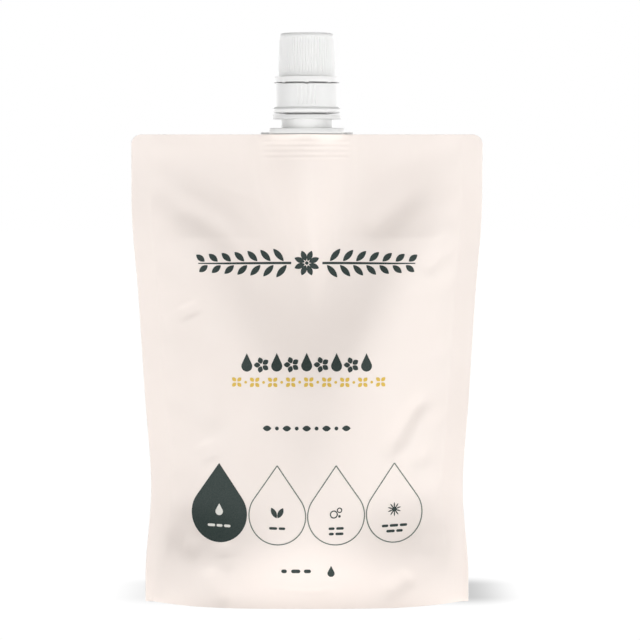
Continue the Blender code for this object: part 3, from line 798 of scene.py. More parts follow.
    def film_depth(self, x: np.ndarray, z: np.ndarray, folds: Iterable[Fold]) -> np.ndarray:
        """Work out the film's distance from the pouch's middle plane.

        Args:
            x: Places across the pouch.
            z: Heights on the pouch.
            folds: The folds of that film.

        Returns:
            The half depth at each place.
        """
        open_half = self.base_width / 2 - self.base_tack
        base = 1 - np.clip(np.abs(x) / open_half, 0.0, 1.0) ** self.base_squareness
        base_share = 1 - ease(z / self.base_blend)
        depth = (1 - base_share) * self.body_depth(x, z)
        depth = depth + base_share * base * curve_through(self.depth_knots, z)
        push = sum(fold.relief(x, z) for fold in folds)
        depth = depth - push * np.clip(depth / self.fold_free_depth, 0.0, 1.0)
        bulge = self.bulge_depth(x, z)
        depth = soft_max(depth, bulge, self.bulge_blend)
        depth = depth + self.boat_rib_relief(x, z) + self.pucker(x, z)
        return np.maximum(depth, self.seal_thickness / 2 + self.seal_marks(x, z))

    def boat_rib_relief(self, x: np.ndarray, z: np.ndarray) -> np.ndarray:
        """Read how far the boat's weld ribs show through the film.

        Args:
            x: Places across the pouch.
            z: Heights on the pouch.

        Returns:
            The height of the ribs at each place.
        """
        reach = 1 - ease((np.abs(x) - self.rib_reach) / self.rib_fade)
        total = np.zeros(x.shape)
        for i in range(self.boat_ribs):
            middle = self.boat_bottom + self.rib_pitch * (i + self.rib_start)
            total = total + np.exp(-(((z - middle) / self.rib_width) ** 2))
        return self.rib_relief * reach * total

    def pucker(self, x: np.ndarray, z: np.ndarray) -> np.ndarray:
        """Read the small wrinkles that run in from the side seals.

        Args:
            x: Places across the pouch.
            z: Heights on the pouch.

        Returns:
            The height of the wrinkles at each place.
        """
        seal_edge = self.edge_half_width(z) - self.side_seal
        inside = seal_edge - np.abs(x)
        near = np.clip(inside / self.pucker_start, 0.0, 1.0) * np.exp(-inside / self.pucker_fade)
        phase = np.where(x > 0, *self.pucker_phases)
        short, long = self.pucker_waves
        slant = self.pucker_slant * inside
        wave = np.sin((z + slant) / short + phase) * np.sin(z / long + 2 * phase)
        return self.pucker_depth * near * wave * (inside > 0)

    def seal_marks(self, x: np.ndarray, z: np.ndarray) -> np.ndarray:
        """Read the shallow lines that the sealing bars leave beside each seal's inner edge.

        Args:
            x: Places across the pouch.
            z: Heights on the pouch.

        Returns:
            The depth of the lines at each place, below zero.
        """
        from_edge = self.edge_half_width(z) - self.side_seal - np.abs(x)
        offset, width = self.side_mark
        side = np.exp(-(((from_edge + offset) / width) ** 2))
        offset, width = self.top_mark
        top = np.exp(-(((z - (self.height - self.top_seal + offset)) / width) ** 2))
        return -self.mark_depth * np.clip(side + top, 0.0, 1.0)

    def lean(self, x: np.ndarray, z: np.ndarray) -> np.ndarray:
        """Read how far both films stray from the middle plane along the wavy side seals.

        Args:
            x: Places across the pouch.
            z: Heights on the pouch.

        Returns:
            The films' shared offset in y at each place.
        """
        outward = np.clip(np.abs(x) / (self.top_width / 2), 0.0, 1.0) ** 3
        side = np.where(x > 0, 1.0, -1.0)
        long, short = self.lean_waves
        wave = np.sin(z / long + side) + 0.5 * np.sin(z / short - 2 * side)
        level = ease(z / self.lean_start)
        return self.lean_depth * outward * wave * level

    def row_heights(self) -> np.ndarray:
        """List the heights of the rows, closer together over the seals and the boat.

        Returns:
            The heights from the ground to the top edge.
        """
        base = np.array([0.0, 0.15, 0.4, 0.8]) * MM
        start, end = 1.4 * MM, self.boat_bottom - 2 * MM
        body = np.linspace(start, end, round((end - start) / self.body_row))
        over_boat = np.linspace(end, self.height - 0.2 * MM, self.rows_over_boat)[1:]
        return np.concatenate([base, body, over_boat, [self.height - 0.05 * MM, self.height]])

    def columns(self, z: np.ndarray) -> np.ndarray:
        """Place the columns at each height.

        Args:
            z: The rows' heights.

        Returns:
            One row of x places for each height, from the left edge to the right edge.
        """
        end = self.boat_half_length + self.fit_gap
        top_edge = self.top_width / 2 - self.side_seal
        boat_share = end / top_edge
        count = round(self.half_columns * boat_share)
        shares = np.concatenate(
            [
                np.linspace(0, boat_share, count, endpoint=False),
                np.linspace(boat_share, 1, self.half_columns - count),
            ]
        )
        seal_edge = (self.edge_half_width(z) - self.side_seal)[:, None]
        trim = self.corner_trim(z)[:, None]
        inner = seal_edge * shares[None, :]
        steps = np.array(self.seal_columns) * MM / self.side_seal
        outer = seal_edge + (self.side_seal - trim) * steps[None, :]
        right = np.concatenate([inner, outer], axis=1)
        return np.concatenate([-right[:, :0:-1], right], axis=1)

    def sheet(self, sign: float, folds: Iterable[Fold]) -> np.ndarray:
        """Lay out one film, from the middle of the underside to the top edge.

        Args:
            sign: -1 for the front film and 1 for the back film.
            folds: The film's folds.

        Returns:
            Points of shape (rows, columns, 3).
        """
        heights = self.row_heights()
        x = self.columns(heights)
        z = np.repeat(heights[:, None], x.shape[1], axis=1)
        depth = self.film_depth(x, z, folds)
        depth[:, [0, -1]] = 0.0
        depth[-1, :] = 0.0
        lean = self.lean(x, z)
        outside = np.stack([x, sign * depth + lean, z], axis=2)
        return np.concatenate([self.underside(sign, outside[0]), outside])

    def underside(self, sign: float, rim: np.ndarray) -> np.ndarray:
        """Lay out half of the gusset inside the skirt, from its middle line out to the rim.

        Args:
            sign: -1 for the front half and 1 for the back half.
            rim: The film's lowest row.

        Returns:
            Points of shape (rows, columns, 3).
        """
        inner = self.depth_knots[0][1] - self.skirt
        open_half = self.base_width / 2 - self.base_tack
        rows = []
        for inward, rise in GUSSET_SECTION:
            inset = self.skirt + inner * inward
            share = min(1.0, (inset + self.gusset_gap) / self.depth_knots[0][1])
            reach = open_half * max(0.05, 1 - share) ** (1 / self.base_squareness)
            x = rim[:, 0] * reach / (self.base_width / 2)
            profile = 1 - np.clip(np.abs(x) / open_half, 0.0, 1.0) ** self.base_squareness
            depth = np.clip(self.depth_knots[0][1] * profile - inset, 0.0, None)
            depth[[0, -1]] = 0.0
            rows.append(
                np.stack([x, sign * depth, np.full(x.shape, rise * self.gusset_rise)], axis=1)
            )
        rows[0][:, 1] = 0.0
        return np.array(rows)

    def add_sheet(self, bm: bmesh.types.BMesh, points: np.ndarray) -> None:
        """Lay a grid of faces over a film's points.

        Args:
            bm: The bmesh that takes the sheet.
            points: Points of shape (rows, columns, 3).
        """
        rows, columns = points.shape[:2]
        made = bmesh.ops.create_grid(
            bm, x_segments=columns - 1, y_segments=rows - 1, size=0.5
        )["verts"]
        for vert in made:
            i = round((vert.co.x + 0.5) * (columns - 1))
            j = round((vert.co.y + 0.5) * (rows - 1))
            vert.co = points[j, i]

    def cut_pocket(self, pouch: bpy.types.Object) -> None:
        """Cut the pocket for the spout's boat into the top seal.

        Args:
            pouch: The closed pouch.
        """
        end = self.boat_half_length + self.fit_gap
        places = np.linspace(-end, end, 49)
        depths = self.boat_depth(places * self.boat_half_length / end) + self.fit_gap
        outline = [(x, -d) for x, d in zip(places, depths)]
        outline += [(x, d) for x, d in zip(places[::-1], depths[::-1])]
        levels = [(0.0, self.boat_bottom - self.fit_gap), (0.0, self.height + 1 * MM)]
        combine(pouch, stack_levels(lambda inset: outline, levels), "DIFFERENCE")

    def build(self) -> bpy.types.Object:
        """Build the pouch and put it in its node's place.

        Returns:
            The pouch's object.
        """
        bm = bmesh.new()
        self.add_sheet(bm, self.sheet(-1.0, FRONT_FOLDS))
        self.add_sheet(bm, self.sheet(1.0, BACK_FOLDS))
        bmesh.ops.remove_doubles(bm, verts=bm.verts, dist=1e-6)
        pouch = finish_mesh("film_pouch", bm, self.film.material(), 45.0)
        self.cut_pocket(pouch)
        pouch.data.shade_smooth()
        pouch.data.set_sharp_from_angle(angle=math.radians(45))
        place_piece(pouch, "pack", "film", "pouch")
        return pouch


class Ink(Enum):
    """The inks of the print: name and colour."""

    GREEN = ("gravure_printed_green_ink", "1D302C")
    LINE = ("gravure_printed_thin_green_line", "5E6A62")
    YELLOW = ("gravure_printed_golden_ink", "E2BE4C")
    WHITE = ("gravure_printed_white_ink", "EDEBE4")


@dataclass(frozen=True)
class InkFinish:
    """Gravure ink under the matt coat of the film: even, with a faint grain of its cells."""

    ink: Ink
    roughness: float = 0.45
    specular: float = 0.3
    grain_size: float = 0.5 * MM
    grain_share: float = 0.12

    def material(self) -> bpy.types.Material:
        """Build the ink's material.

        Returns:
            A material whose colour varies a little, as ink from an engraved roller does.
        """
        name, code = self.ink.value
        material, tree, output = new_material(name)
        place = add_node(tree, "ShaderNodeTexCoord", {}).outputs["Object"]
        grain = add_node(
            tree,
            "ShaderNodeTexNoise",
            {"Vector": place, "Scale": 1 / self.grain_size, "Detail": 1.0},
        )
        colour = linear(code)
        paler = tuple(c + (1 - c) * self.grain_share * 0.3 for c in colour[:3]) + (1.0,)
        mixed = add_node(
            tree,
            "ShaderNodeMix",
            {0: grain.outputs["Fac"], 6: colour, 7: paler},
            data_type="RGBA",
        )
        shader = add_node(
            tree,
            "ShaderNodeBsdfPrincipled",
            {
                "Base Color": mixed.outputs[2],
                "Roughness": self.roughness,
                "Specular IOR Level": self.specular,
            },
        )
        tree.links.new(shader.outputs["BSDF"], output.inputs["Surface"])
        return material


@dataclass
class InkLayer:
    """Flat shapes of one ink, drawn in millimetres on the front and then laid on the film."""

    name: str
    ink: Ink
    pouch: FilledPouch
    proud: float = 0.07 * MM
    thickness: float = 0.04 * MM
    cut_pitch: float = 1.3
    shapes: bmesh.types.BMesh = field(default_factory=bmesh.new)

    def polygon(self, points: Iterable[tuple[float, float]]) -> None:
        """Draw a filled outline through (x, z) points."""
        self.shapes.faces.new([self.shapes.verts.new((x, 0.0, z)) for x, z in points])

    def oval(self, x: float, z: float, half_x: float, half_z: float, turn: float = 0.0) -> None:
        """Draw a filled oval.

        Args:
            x: Its middle across the pouch.
            z: Its middle's height.
            half_x: Half its width before it is turned.
            half_z: Half its height before it is turned.
            turn: Degrees that it is turned counter-clockwise.
        """
        cos, sin = math.cos(math.radians(turn)), math.sin(math.radians(turn))
        points = []
        for i in range(40):
            a = half_x * math.cos(FULL_TURN * i / 40)
            b = half_z * math.sin(FULL_TURN * i / 40)
            points.append((x + a * cos - b * sin, z + a * sin + b * cos))
        self.polygon(points)

    def stroke(self, path: Sequence[tuple[float, float]], widths: Sequence[float]) -> None:
        """Draw a line along a path.

        Args:
            path: The (x, z) points of its middle.
            widths: Its full width at each point.
        """
        line = np.array(path, float)
        runs = np.gradient(line, axis=0)
        across = np.stack([-runs[:, 1], runs[:, 0]], axis=1)
        across = across / np.hypot(across[:, 0], across[:, 1])[:, None]
        half = np.array(widths)[:, None] / 2
        sides = [line + across * half, line - across * half]
        verts = [[self.shapes.verts.new((x, 0.0, z)) for x, z in side] for side in sides]
        for i in range(len(line) - 1):
            corners = (verts[0][i], verts[0][i + 1], verts[1][i + 1], verts[1][i])
            self.shapes.faces.new(corners)

    def arc(
        self,
        x: float,
        z: float,
        half_x: float,
        half_z: float,
        width: float,
        start: float = 0.0,
        end: float = 360.0,
    ) -> None:
        """Draw a line along an oval.

        Args:
            x: The oval's middle across the pouch.
            z: Its middle's height.
            half_x: Half its width.
            half_z: Half its height.
            width: The line's width.
            start: The angle in degrees where the line starts.
            end: The angle in degrees where it ends.
        """
        angles = np.radians(np.linspace(start, end, max(8, round(abs(end - start) / 4)) + 1))
        path = [(x + half_x * math.cos(a), z + half_z * math.sin(a)) for a in angles]
        self.stroke(path, [width] * len(path))

    def leaf(self, x: float, z: float, length: float, width: float, turn: float) -> None:
        """Draw a pointed leaf from its foot.

        Args:
            x: The foot's place across the pouch.
            z: The foot's height.
            length: The leaf's length.
            width: Its width at the middle.
            turn: The direction of its tip in degrees.
        """
        cos, sin = math.cos(math.radians(turn)), math.sin(math.radians(turn))
        shares = np.linspace(0.0, 1.0, 13)
        side = width / 2 * np.sin(np.pi * shares) ** 0.8
        outline = list(zip(shares * length, side))
        outline += list(zip(shares[-2:0:-1] * length, -side[-2:0:-1]))
        self.polygon([(x + a * cos - b * sin, z + a * sin + b * cos) for a, b in outline])

    def drop(
        self, x: float, z: float, half_width: float, height: float, line: float = 0.0
    ) -> None:
        """Draw a water drop that stands on its round end.

        Args:
            x: Its middle across the pouch.
            z: Its middle's height.
            half_width: The radius of its round end.
            height: Its whole height.
            line: The width of its outline, or 0 for a filled drop.
        """
        low, tip = z - height / 2 + half_width, z + height / 2
        start = math.asin(half_width / (tip - low))
        points = [(x, tip)]
        for a in np.linspace(math.pi - start, FULL_TURN + start, 49):
            points.append((x + half_width * math.cos(a), low + half_width * math.sin(a)))
        if line:
            self.stroke(smooth_path([*points, (x, tip)], 1), [line] * (len(points) + 1))
        else:
            self.polygon(points)

    def blossom(self, x: float, z: float, petals: int, length: float, width: float) -> None:
        """Draw a blossom of petals with a small gap in their middle.

        Args:
            x: Its middle across the pouch.
            z: Its middle's height.
            petals: How many petals it has.
            length: The length of a petal.
            width: The width of a petal.
        """
        for k in range(petals):
            angle = FULL_TURN * (k + 0.5) / petals
            foot = 0.2 * length
            place = (x + foot * math.cos(angle), z + foot * math.sin(angle))
            self.leaf(*place, length, width, math.degrees(angle))

    def bar(self, x: float, z: float, length: float, height: float) -> None:
        """Draw a level bar with round ends.

        Args:
            x: Its middle across the pouch.
            z: Its middle's height.
            length: Its whole length.
            height: Its height.
        """
        points = []
        for side in (1, -1):
            for a in np.radians(np.linspace(-90, 90, 9)):
                reach = length / 2 - height / 2 + height / 2 * math.cos(a)
                points.append((x + side * reach, z + side * height / 2 * math.sin(a)))
        self.polygon(points)

    def lay(self) -> bpy.types.Object:
        """Lay the shapes on the film as one thin closed skin.

        Returns:
            The layer's object.
        """
        bm = self.shapes
        bmesh.ops.triangulate(bm, faces=bm.faces)
        for axis in (0, 2):
            places = [vert.co[axis] for vert in bm.verts]
            for k in range(math.ceil(min(places) / self.cut_pitch), 10**6):
                if k * self.cut_pitch >= max(places):
                    break
                cut = Vector((0.0, 0.0, 0.0))
                cut[axis] = k * self.cut_pitch
                normal = Vector((float(axis == 0), 0.0, float(axis == 2)))
                geometry = bm.verts[:] + bm.edges[:] + bm.faces[:]
                bmesh.ops.bisect_plane(bm, geom=geometry, plane_co=cut, plane_no=normal)
        points = np.array([vert.co for vert in bm.verts]) * MM
        x, z = points[:, 0], points[:, 2]
        depth = self.pouch.film_depth(x, z, FRONT_FOLDS)
        y = self.pouch.lean(x, z) - depth - self.proud
        for vert, place in zip(bm.verts, np.stack([x, y, z], axis=1)):
            vert.co = place
        bmesh.ops.recalc_face_normals(bm, faces=bm.faces)
        inner = bmesh.ops.extrude_face_region(bm, geom=bm.faces[:])["geom"]
        back = [item for item in inner if isinstance(item, bmesh.types.BMVert)]
        bmesh.ops.translate(bm, verts=back, vec=(0.0, self.thickness, 0.0))
        layer = finish_mesh(self.name, bm, InkFinish(self.ink).material(), 60.0)
        place_piece(layer, "pack", "film")
        return layer


@dataclass
class FrontPrint:
    """The generic print of the front: a sprig, rows of simple shapes and four drop fields."""

    pouch: FilledPouch
    sprig_height: float = 136.2
    sprig_half_length: float = 43.0
    sprig_blossom: tuple[int, float, float] = (8, 4.4, 2.2)
    blossom_eye: float = 0.7
    twig_places: tuple[float, ...] = (6.2, 18.0, 30.0)
    twig_widths: tuple[float, ...] = (0.95, 0.9, 0.75, 0.4)
    leaf_pairs: int = 7
    leaf_pitch: float = 5.2
    first_leaf: float = 8.0
    leaf_size: tuple[float, float] = (6.4, 2.3)
    leaf_shortening: float = 0.35
    leaf_lean: float = 40.0
    leaf_lean_step: float = 2.0
    leaf_stagger: float = 1.2
    leaf_offset: float = 0.75
    row_reach: int = 4
    bold_height: float = 97.4
    bold_pitch: float = 5.9
    bold_drop: tuple[float, float] = (2.15, 7.2)
    bold_blossom: tuple[int, float, float] = (5, 2.6, 2.0)
    bold_blossom_sag: float = 1.0
    golden_height: float = 89.6
    golden_pitch: float = 3.55
    golden_offset: float = 0.8
    golden_blossom: tuple[int, float, float] = (4, 2.1, 1.5)
    golden_seed: float = 0.55
    small_height: float = 71.6
    small_pitch: float = 3.9
    small_leaf: tuple[float, float] = (3.4, 2.2)
    small_dot: float = 0.75
    field_middles: tuple[float, ...] = (-34.8, -11.6, 11.6, 34.8)
    field_height: float = 41.5
    field_half_width: float = 11.2
    field_length: float = 31.0
    field_line: float = 0.42
    icon_height: float = 38.6
    caption_height: float = 32.4
    caption_pitch: float = 2.1
    foot_height: float = 15.4

    def draw_sprig(self, ink: InkLayer) -> None:
        """Draw a level sprig: a blossom in the middle and a leafy twig to each side.

        Args:
            ink: The layer that takes it.
        """
        z = self.sprig_height
        ink.blossom(0.0, z, *self.sprig_blossom)
        ink.oval(0.0, z, self.blossom_eye, self.blossom_eye)
        longest, width = self.leaf_size
        for side in (-1, 1):
            twig = [(side * x, z) for x in (*self.twig_places, self.sprig_half_length)]
            ink.stroke(twig, list(self.twig_widths))
            for k in range(self.leaf_pairs):
                x = side * (self.first_leaf + self.leaf_pitch * k)
                length = longest - self.leaf_shortening * k
                lean = self.leaf_lean + self.leaf_lean_step * k
                for up in (-1, 1):
                    turn = 90 - side * lean if up > 0 else side * lean - 90
                    foot = x + side * self.leaf_stagger * (up > 0)
                    ink.leaf(foot, z + up * self.leaf_offset, length, width, turn)

    def draw_bold_row(self, ink: InkLayer) -> None:
        """Draw a bold row of drops and blossoms.

        Args:
            ink: The layer that takes them.
        """
        for k in range(-self.row_reach, self.row_reach + 1):
            if k % 2:
                z = self.bold_height - self.bold_blossom_sag
                ink.blossom(self.bold_pitch * k, z, *self.bold_blossom)
            else:
                ink.drop(self.bold_pitch * k, self.bold_height, *self.bold_drop)

    def draw_small_row(self, ink: InkLayer) -> None:
        """Draw a small row of leaves and dots.

        Args:
            ink: The layer that takes them.
        """
        for k in range(-self.row_reach, self.row_reach + 1):
            if k % 2:
                ink.oval(self.small_pitch * k, self.small_height, self.small_dot, self.small_dot)
            else:
                foot = self.small_pitch * k - self.small_leaf[0] / 2
                ink.leaf(foot, self.small_height, *self.small_leaf, 0.0)

    def draw_golden_row(self, ink: InkLayer) -> None:
        """Draw a fine row of four-petalled blossoms and seeds.

        Args:
            ink: The layer that takes them.
        """
        for k in range(-2 * self.row_reach, 2 * self.row_reach + 1):
            x = self.golden_offset + self.golden_pitch * k
            if k % 2:
                ink.oval(x, self.golden_height, self.golden_seed, self.golden_seed)
            else:
                ink.blossom(x, self.golden_height, *self.golden_blossom)

    def draw_captions(self, ink: InkLayer, x: float, rows: Sequence[Sequence[float]]) -> None:
        """Draw rows of short bars where a caption would stand.

        Args:
            ink: The layer that takes them.
            x: The middle of the rows.
            rows: For each row, the lengths of its bars.
        """
        gap = 0.6
        for i, lengths in enumerate(rows):
            place = x - (sum(lengths) + gap * (len(lengths) - 1)) / 2
            for length in lengths:
                height = self.caption_height - self.caption_pitch * i
                ink.bar(place + length / 2, height, length, 1.0)
                place += length + gap

    def draw_icons(self, ink: InkLayer) -> None:
        """Draw the marks of the three outlined fields: two leaves, bubbles and a sun.

        Args:
            ink: The layer that takes them.
        """
        second, third, last = self.field_middles[1:]
        z = self.icon_height
        ink.leaf(second - 0.2, z - 2.2, 4.6, 2.0, 118)
        ink.leaf(second + 0.2, z - 2.2, 4.6, 2.0, 62)
        ink.arc(third - 0.9, z - 0.7, 1.35, 1.35, 0.45)
        ink.arc(third + 1.35, z + 0.9, 0.85, 0.85, 0.4)
        ink.oval(third + 1.3, z - 1.5, 0.5, 0.5)
        ink.oval(last, z, 1.0, 1.0)
        ink.blossom(last, z, 10, 2.3, 0.5)
        self.draw_captions(ink, second, ((3.2, 2.6),))
        self.draw_captions(ink, third, ((2.4, 3.0), (2.0, 3.2)))
        self.draw_captions(ink, last, ((2.6, 3.4, 3.0), (3.4, 2.6)))

    def build(self) -> list[bpy.types.Object]:
        """Draw and lay every layer of the print.

        Returns:
            The layers' objects.
        """
        green = InkLayer("print_green", Ink.GREEN, self.pouch)
        self.draw_sprig(green)
        self.draw_bold_row(green)
        self.draw_small_row(green)
        self.draw_icons(green)
        for k, length in enumerate((2.2, 3.6, 2.8)):
            green.bar(-8.9 + 4.6 * k, self.foot_height, length, 1.5)
        green.drop(9.6, self.foot_height, 1.4, 4.6)
        field_size = (self.field_height, self.field_half_width, self.field_length)
        first = self.field_middles[0]
        green.drop(first, *field_size)
        lines = InkLayer("print_lines", Ink.LINE, self.pouch)
        for x in self.field_middles[1:]:
            lines.drop(x, *field_size, self.field_line)
        golden = InkLayer("print_golden", Ink.YELLOW, self.pouch)
        self.draw_golden_row(golden)
        white = InkLayer("print_white", Ink.WHITE, self.pouch, proud=0.12 * MM)
        white.drop(first, self.icon_height, 1.5, 4.6)
        self.draw_captions(white, first, ((3.0, 2.4, 2.6),))
        return [layer.lay() for layer in (green, lines, golden, white)]


@dataclass
class ScrewCap:
    """The ribbed screw cap: its grip, its flared skirt with the bridges, and its thread."""

    bottom: float
    top: float
    thread: ScrewThread
    thread_bottom: float
    thread_turns: float = 1.25
    grip_radius: float = 11.35 * MM
    top_radius: float = 10.9 * MM
    skirt_radius: float = 12.9 * MM
    skirt_height: float = 2.2 * MM
    skirt_wall: float = 0.9 * MM
    bore_radius: float = 9.7 * MM
    top_wall: float = 1.4 * MM
    rim_rounding: float = 1.5 * MM
    rib_count: int = 60
    rib_depth: float = 0.30 * MM
    rib_end: float = 0.9 * MM
    steps: int = 480
    grip_rows: int = 14
    bridge_count: int = 8
    bridge_widths: tuple[float, float] = (1.3 * MM, 2.4 * MM)
    bridge_reach: float = 0.3 * MM

    def outline(self) -> list[tuple[float, float]]:
        """Draw half of the cap's section, from its ceiling down, round the mouth and up.

        Returns:
            (radius, height) points.
        """
        ceiling = self.top - self.top_wall
        skirt_top = self.bottom + self.skirt_height
        mouth = self.skirt_radius - self.skirt_wall
        grip_low = skirt_top + 1.2 * MM
        grip_high = self.top - self.rim_rounding
        corners = [
            (0.0, ceiling, 0.0),
            (self.bore_radius, ceiling, 0.4 * MM),
            (self.bore_radius, skirt_top + self.skirt_wall / 2, 0.3 * MM),
            (mouth, skirt_top - self.skirt_wall, 0.3 * MM),
            (mouth, self.bottom, 0.12 * MM),
            (self.skirt_radius, self.bottom, 0.18 * MM),
            (self.skirt_radius, skirt_top, 0.15 * MM),
            (self.grip_radius, skirt_top + 0.05 * MM, 0.15 * MM),
        ]
        for share in np.linspace(0.0, 1.0, self.grip_rows):
            radius = self.grip_radius + (self.top_radius - self.grip_radius) * share
            corners.append((radius, grip_low + (grip_high - grip_low) * share, 0.0))
        corners.append((self.top_radius - 0.02 * MM, self.top, self.rim_rounding - 0.05 * MM))
        corners.append((0.0, self.top, 0.0))
        return round_corners(corners, 6)

    def press_ribs(self, bm: bmesh.types.BMesh) -> None:
        """Press the grooves between the ribs into the grip.

        Args:
            bm: The turned cap.
        """
        low = self.bottom + self.skirt_height + 1.0 * MM
        high = self.top - self.rim_rounding
        for vert in bm.verts:
            radius = math.hypot(vert.co.x, vert.co.y)
            if radius < self.bore_radius + 0.3 * MM:
                continue
            fade = float(
                ease((vert.co.z - low) / self.rib_end) * ease((high - vert.co.z) / self.rib_end)
            )
            wave = math.cos(self.rib_count * math.atan2(vert.co.y, vert.co.x))
            groove = ((1 - wave) / 2) ** 2
            share = 1 - self.rib_depth * groove * fade / radius
            vert.co.x *= share
            vert.co.y *= share

    def bridges(self) -> bmesh.types.BMesh:
        """Shape the torn-off stubs of the bridges under the skirt.

        Returns:
            One tapered block for each bridge.
        """
        bm = bmesh.new()
        tip, root = self.bridge_widths
        height = self.bridge_reach + 0.5 * MM
        for i in range(self.bridge_count):
            block = bmesh.ops.create_cube(bm, size=1.0)["verts"]
            for vert in block:
                width = root if vert.co.z > 0 else tip
                vert.co.x *= width
            bmesh.ops.scale(bm, verts=block, vec=(1.0, 0.5 * self.skirt_wall, height))
            middle = (
                0.0,
                -(self.skirt_radius - 0.26 * self.skirt_wall),
                self.bottom - self.bridge_reach + height / 2,
            )
            bmesh.ops.translate(bm, verts=block, vec=middle)
            spin = Matrix.Rotation(FULL_TURN * i / self.bridge_count, 3, "Z")
            bmesh.ops.rotate(bm, verts=block, cent=(0.0, 0.0, 0.0), matrix=spin)
        return bm

    def build(self) -> bpy.types.Object:
        """Build the cap and put it in its node's place.

        Returns:
            The cap's object.
        """
        bm = turn_outline(self.outline(), self.steps)
        self.press_ribs(bm)
        cap = finish_mesh("ribbed_cap", bm, MouldedPlastic(Moulding.CAP).material())
        combine(cap, self.bridges(), "UNION")
        ridge = self.thread.ridge(self.bore_radius, -1.0, self.thread_turns, self.thread_bottom)
        combine(cap, ridge, "UNION")
        place_piece(cap, "cap", "cap_plastic", "screw_cap")
        return cap


@dataclass
class TamperBand:
    """The tamper band: a ring with a bead at its foot, a lip inside, flutes and a notch."""

    bottom: float
    top: float
    radius: float = 12.9 * MM
    wall: float = 0.9 * MM
    bead_height: float = 2.4 * MM
    bead_proud: float = 0.75 * MM
    lip_height: float = 2.6 * MM
    lip_reach: float = 1.1 * MM
    flute_count: int = 5
    flute_pitch: float = 1.65 * MM
    flute_radius: float = 0.55 * MM
    flute_height: float = 7.2 * MM
    flute_depth: float = 0.2 * MM
    notch_half_width: float = 1.15 * MM
    notch_depth: float = 0.55 * MM
    steps: int = 288

    def outline(self) -> list[tuple[float, float]]:
        """Draw the band's section all the way round.

        Returns:
            (radius, height) points that end where they start.
        """
        inner = self.radius - self.wall
        bead = self.radius + self.bead_proud
        lip = inner - self.lip_reach
        bead_top = self.bottom + self.bead_height
        corners = [
            (inner, self.bottom + 6 * MM, 0.0),
            (inner, self.top, 0.15 * MM),
            (self.radius, self.top, 0.25 * MM),
            (self.radius, bead_top, 0.1 * MM),
            (bead, bead_top - self.bead_proud, 0.15 * MM),
            (bead, self.bottom + 0.7 * MM, 0.3 * MM),
            (self.radius - 0.1 * MM, self.bottom, 0.3 * MM),
            (lip, self.bottom, 0.15 * MM),
            (lip, self.bottom + self.lip_height * 0.8, 0.15 * MM),
            (inner, self.bottom + self.lip_height, 0.2 * MM),
            (inner, self.bottom + 6 * MM, 0.0),
        ]
        return round_corners(corners, 5)

    def grooves(self) -> bmesh.types.BMesh:
        """Shape the cutters for the flutes and the notch at the front.

        Returns:
            Upright cylinders and one turned block.
        """
        bm = bmesh.new()
        middle = (self.bottom + self.bead_height + self.top) / 2
        distance = self.radius + self.flute_radius - self.flute_depth
        for i in range(self.flute_count):
            angle = (i - (self.flute_count - 1) / 2) * self.flute_pitch / self.radius
            place = (distance * math.sin(angle), -distance * math.cos(angle), middle)
            flute = bmesh.ops.create_cone(
                bm,
                cap_ends=True,
                segments=28,
                radius1=self.flute_radius,
                radius2=self.flute_radius,
                depth=self.flute_height,
                matrix=Matrix.Translation(place),
            )["verts"]
            ends = {edge for vert in flute for edge in vert.link_edges}
            rims = [e for e in ends if abs(e.verts[0].co.z - e.verts[1].co.z) < 0.01 * MM]
            bmesh.ops.bevel(
                bm,
                geom=rims,
                offset=0.3 * MM,
                segments=3,
                profile=0.5,
                affect="EDGES",
                material=-1,
            )
        depth = self.notch_depth / self.notch_half_width
        bmesh.ops.create_cone(
            bm,
            cap_ends=True,
            segments=4,
            radius1=self.notch_half_width,
            radius2=self.notch_half_width,
            depth=4 * self.wall,
            matrix=Matrix.Translation((0.0, -self.radius, self.top))
            @ Matrix.Diagonal((1.0, 1.0, depth, 1.0))
            @ Matrix.Rotation(math.pi / 2, 4, "X"),
        )
        return bm

    def build(self) -> bpy.types.Object:
        """Build the band and put it in its node's place.

        Returns:
            The band's object.
        """
        bm = turn_outline(self.outline(), self.steps)
        band = finish_mesh("fluted_band", bm, MouldedPlastic(Moulding.BAND).material())
        combine(band, self.grooves(), "DIFFERENCE")
        band.data.shade_smooth()
        band.data.set_sharp_from_angle(angle=math.radians(30))
        place_piece(band, "pack", "band_plastic", "tamper_band")
        return band


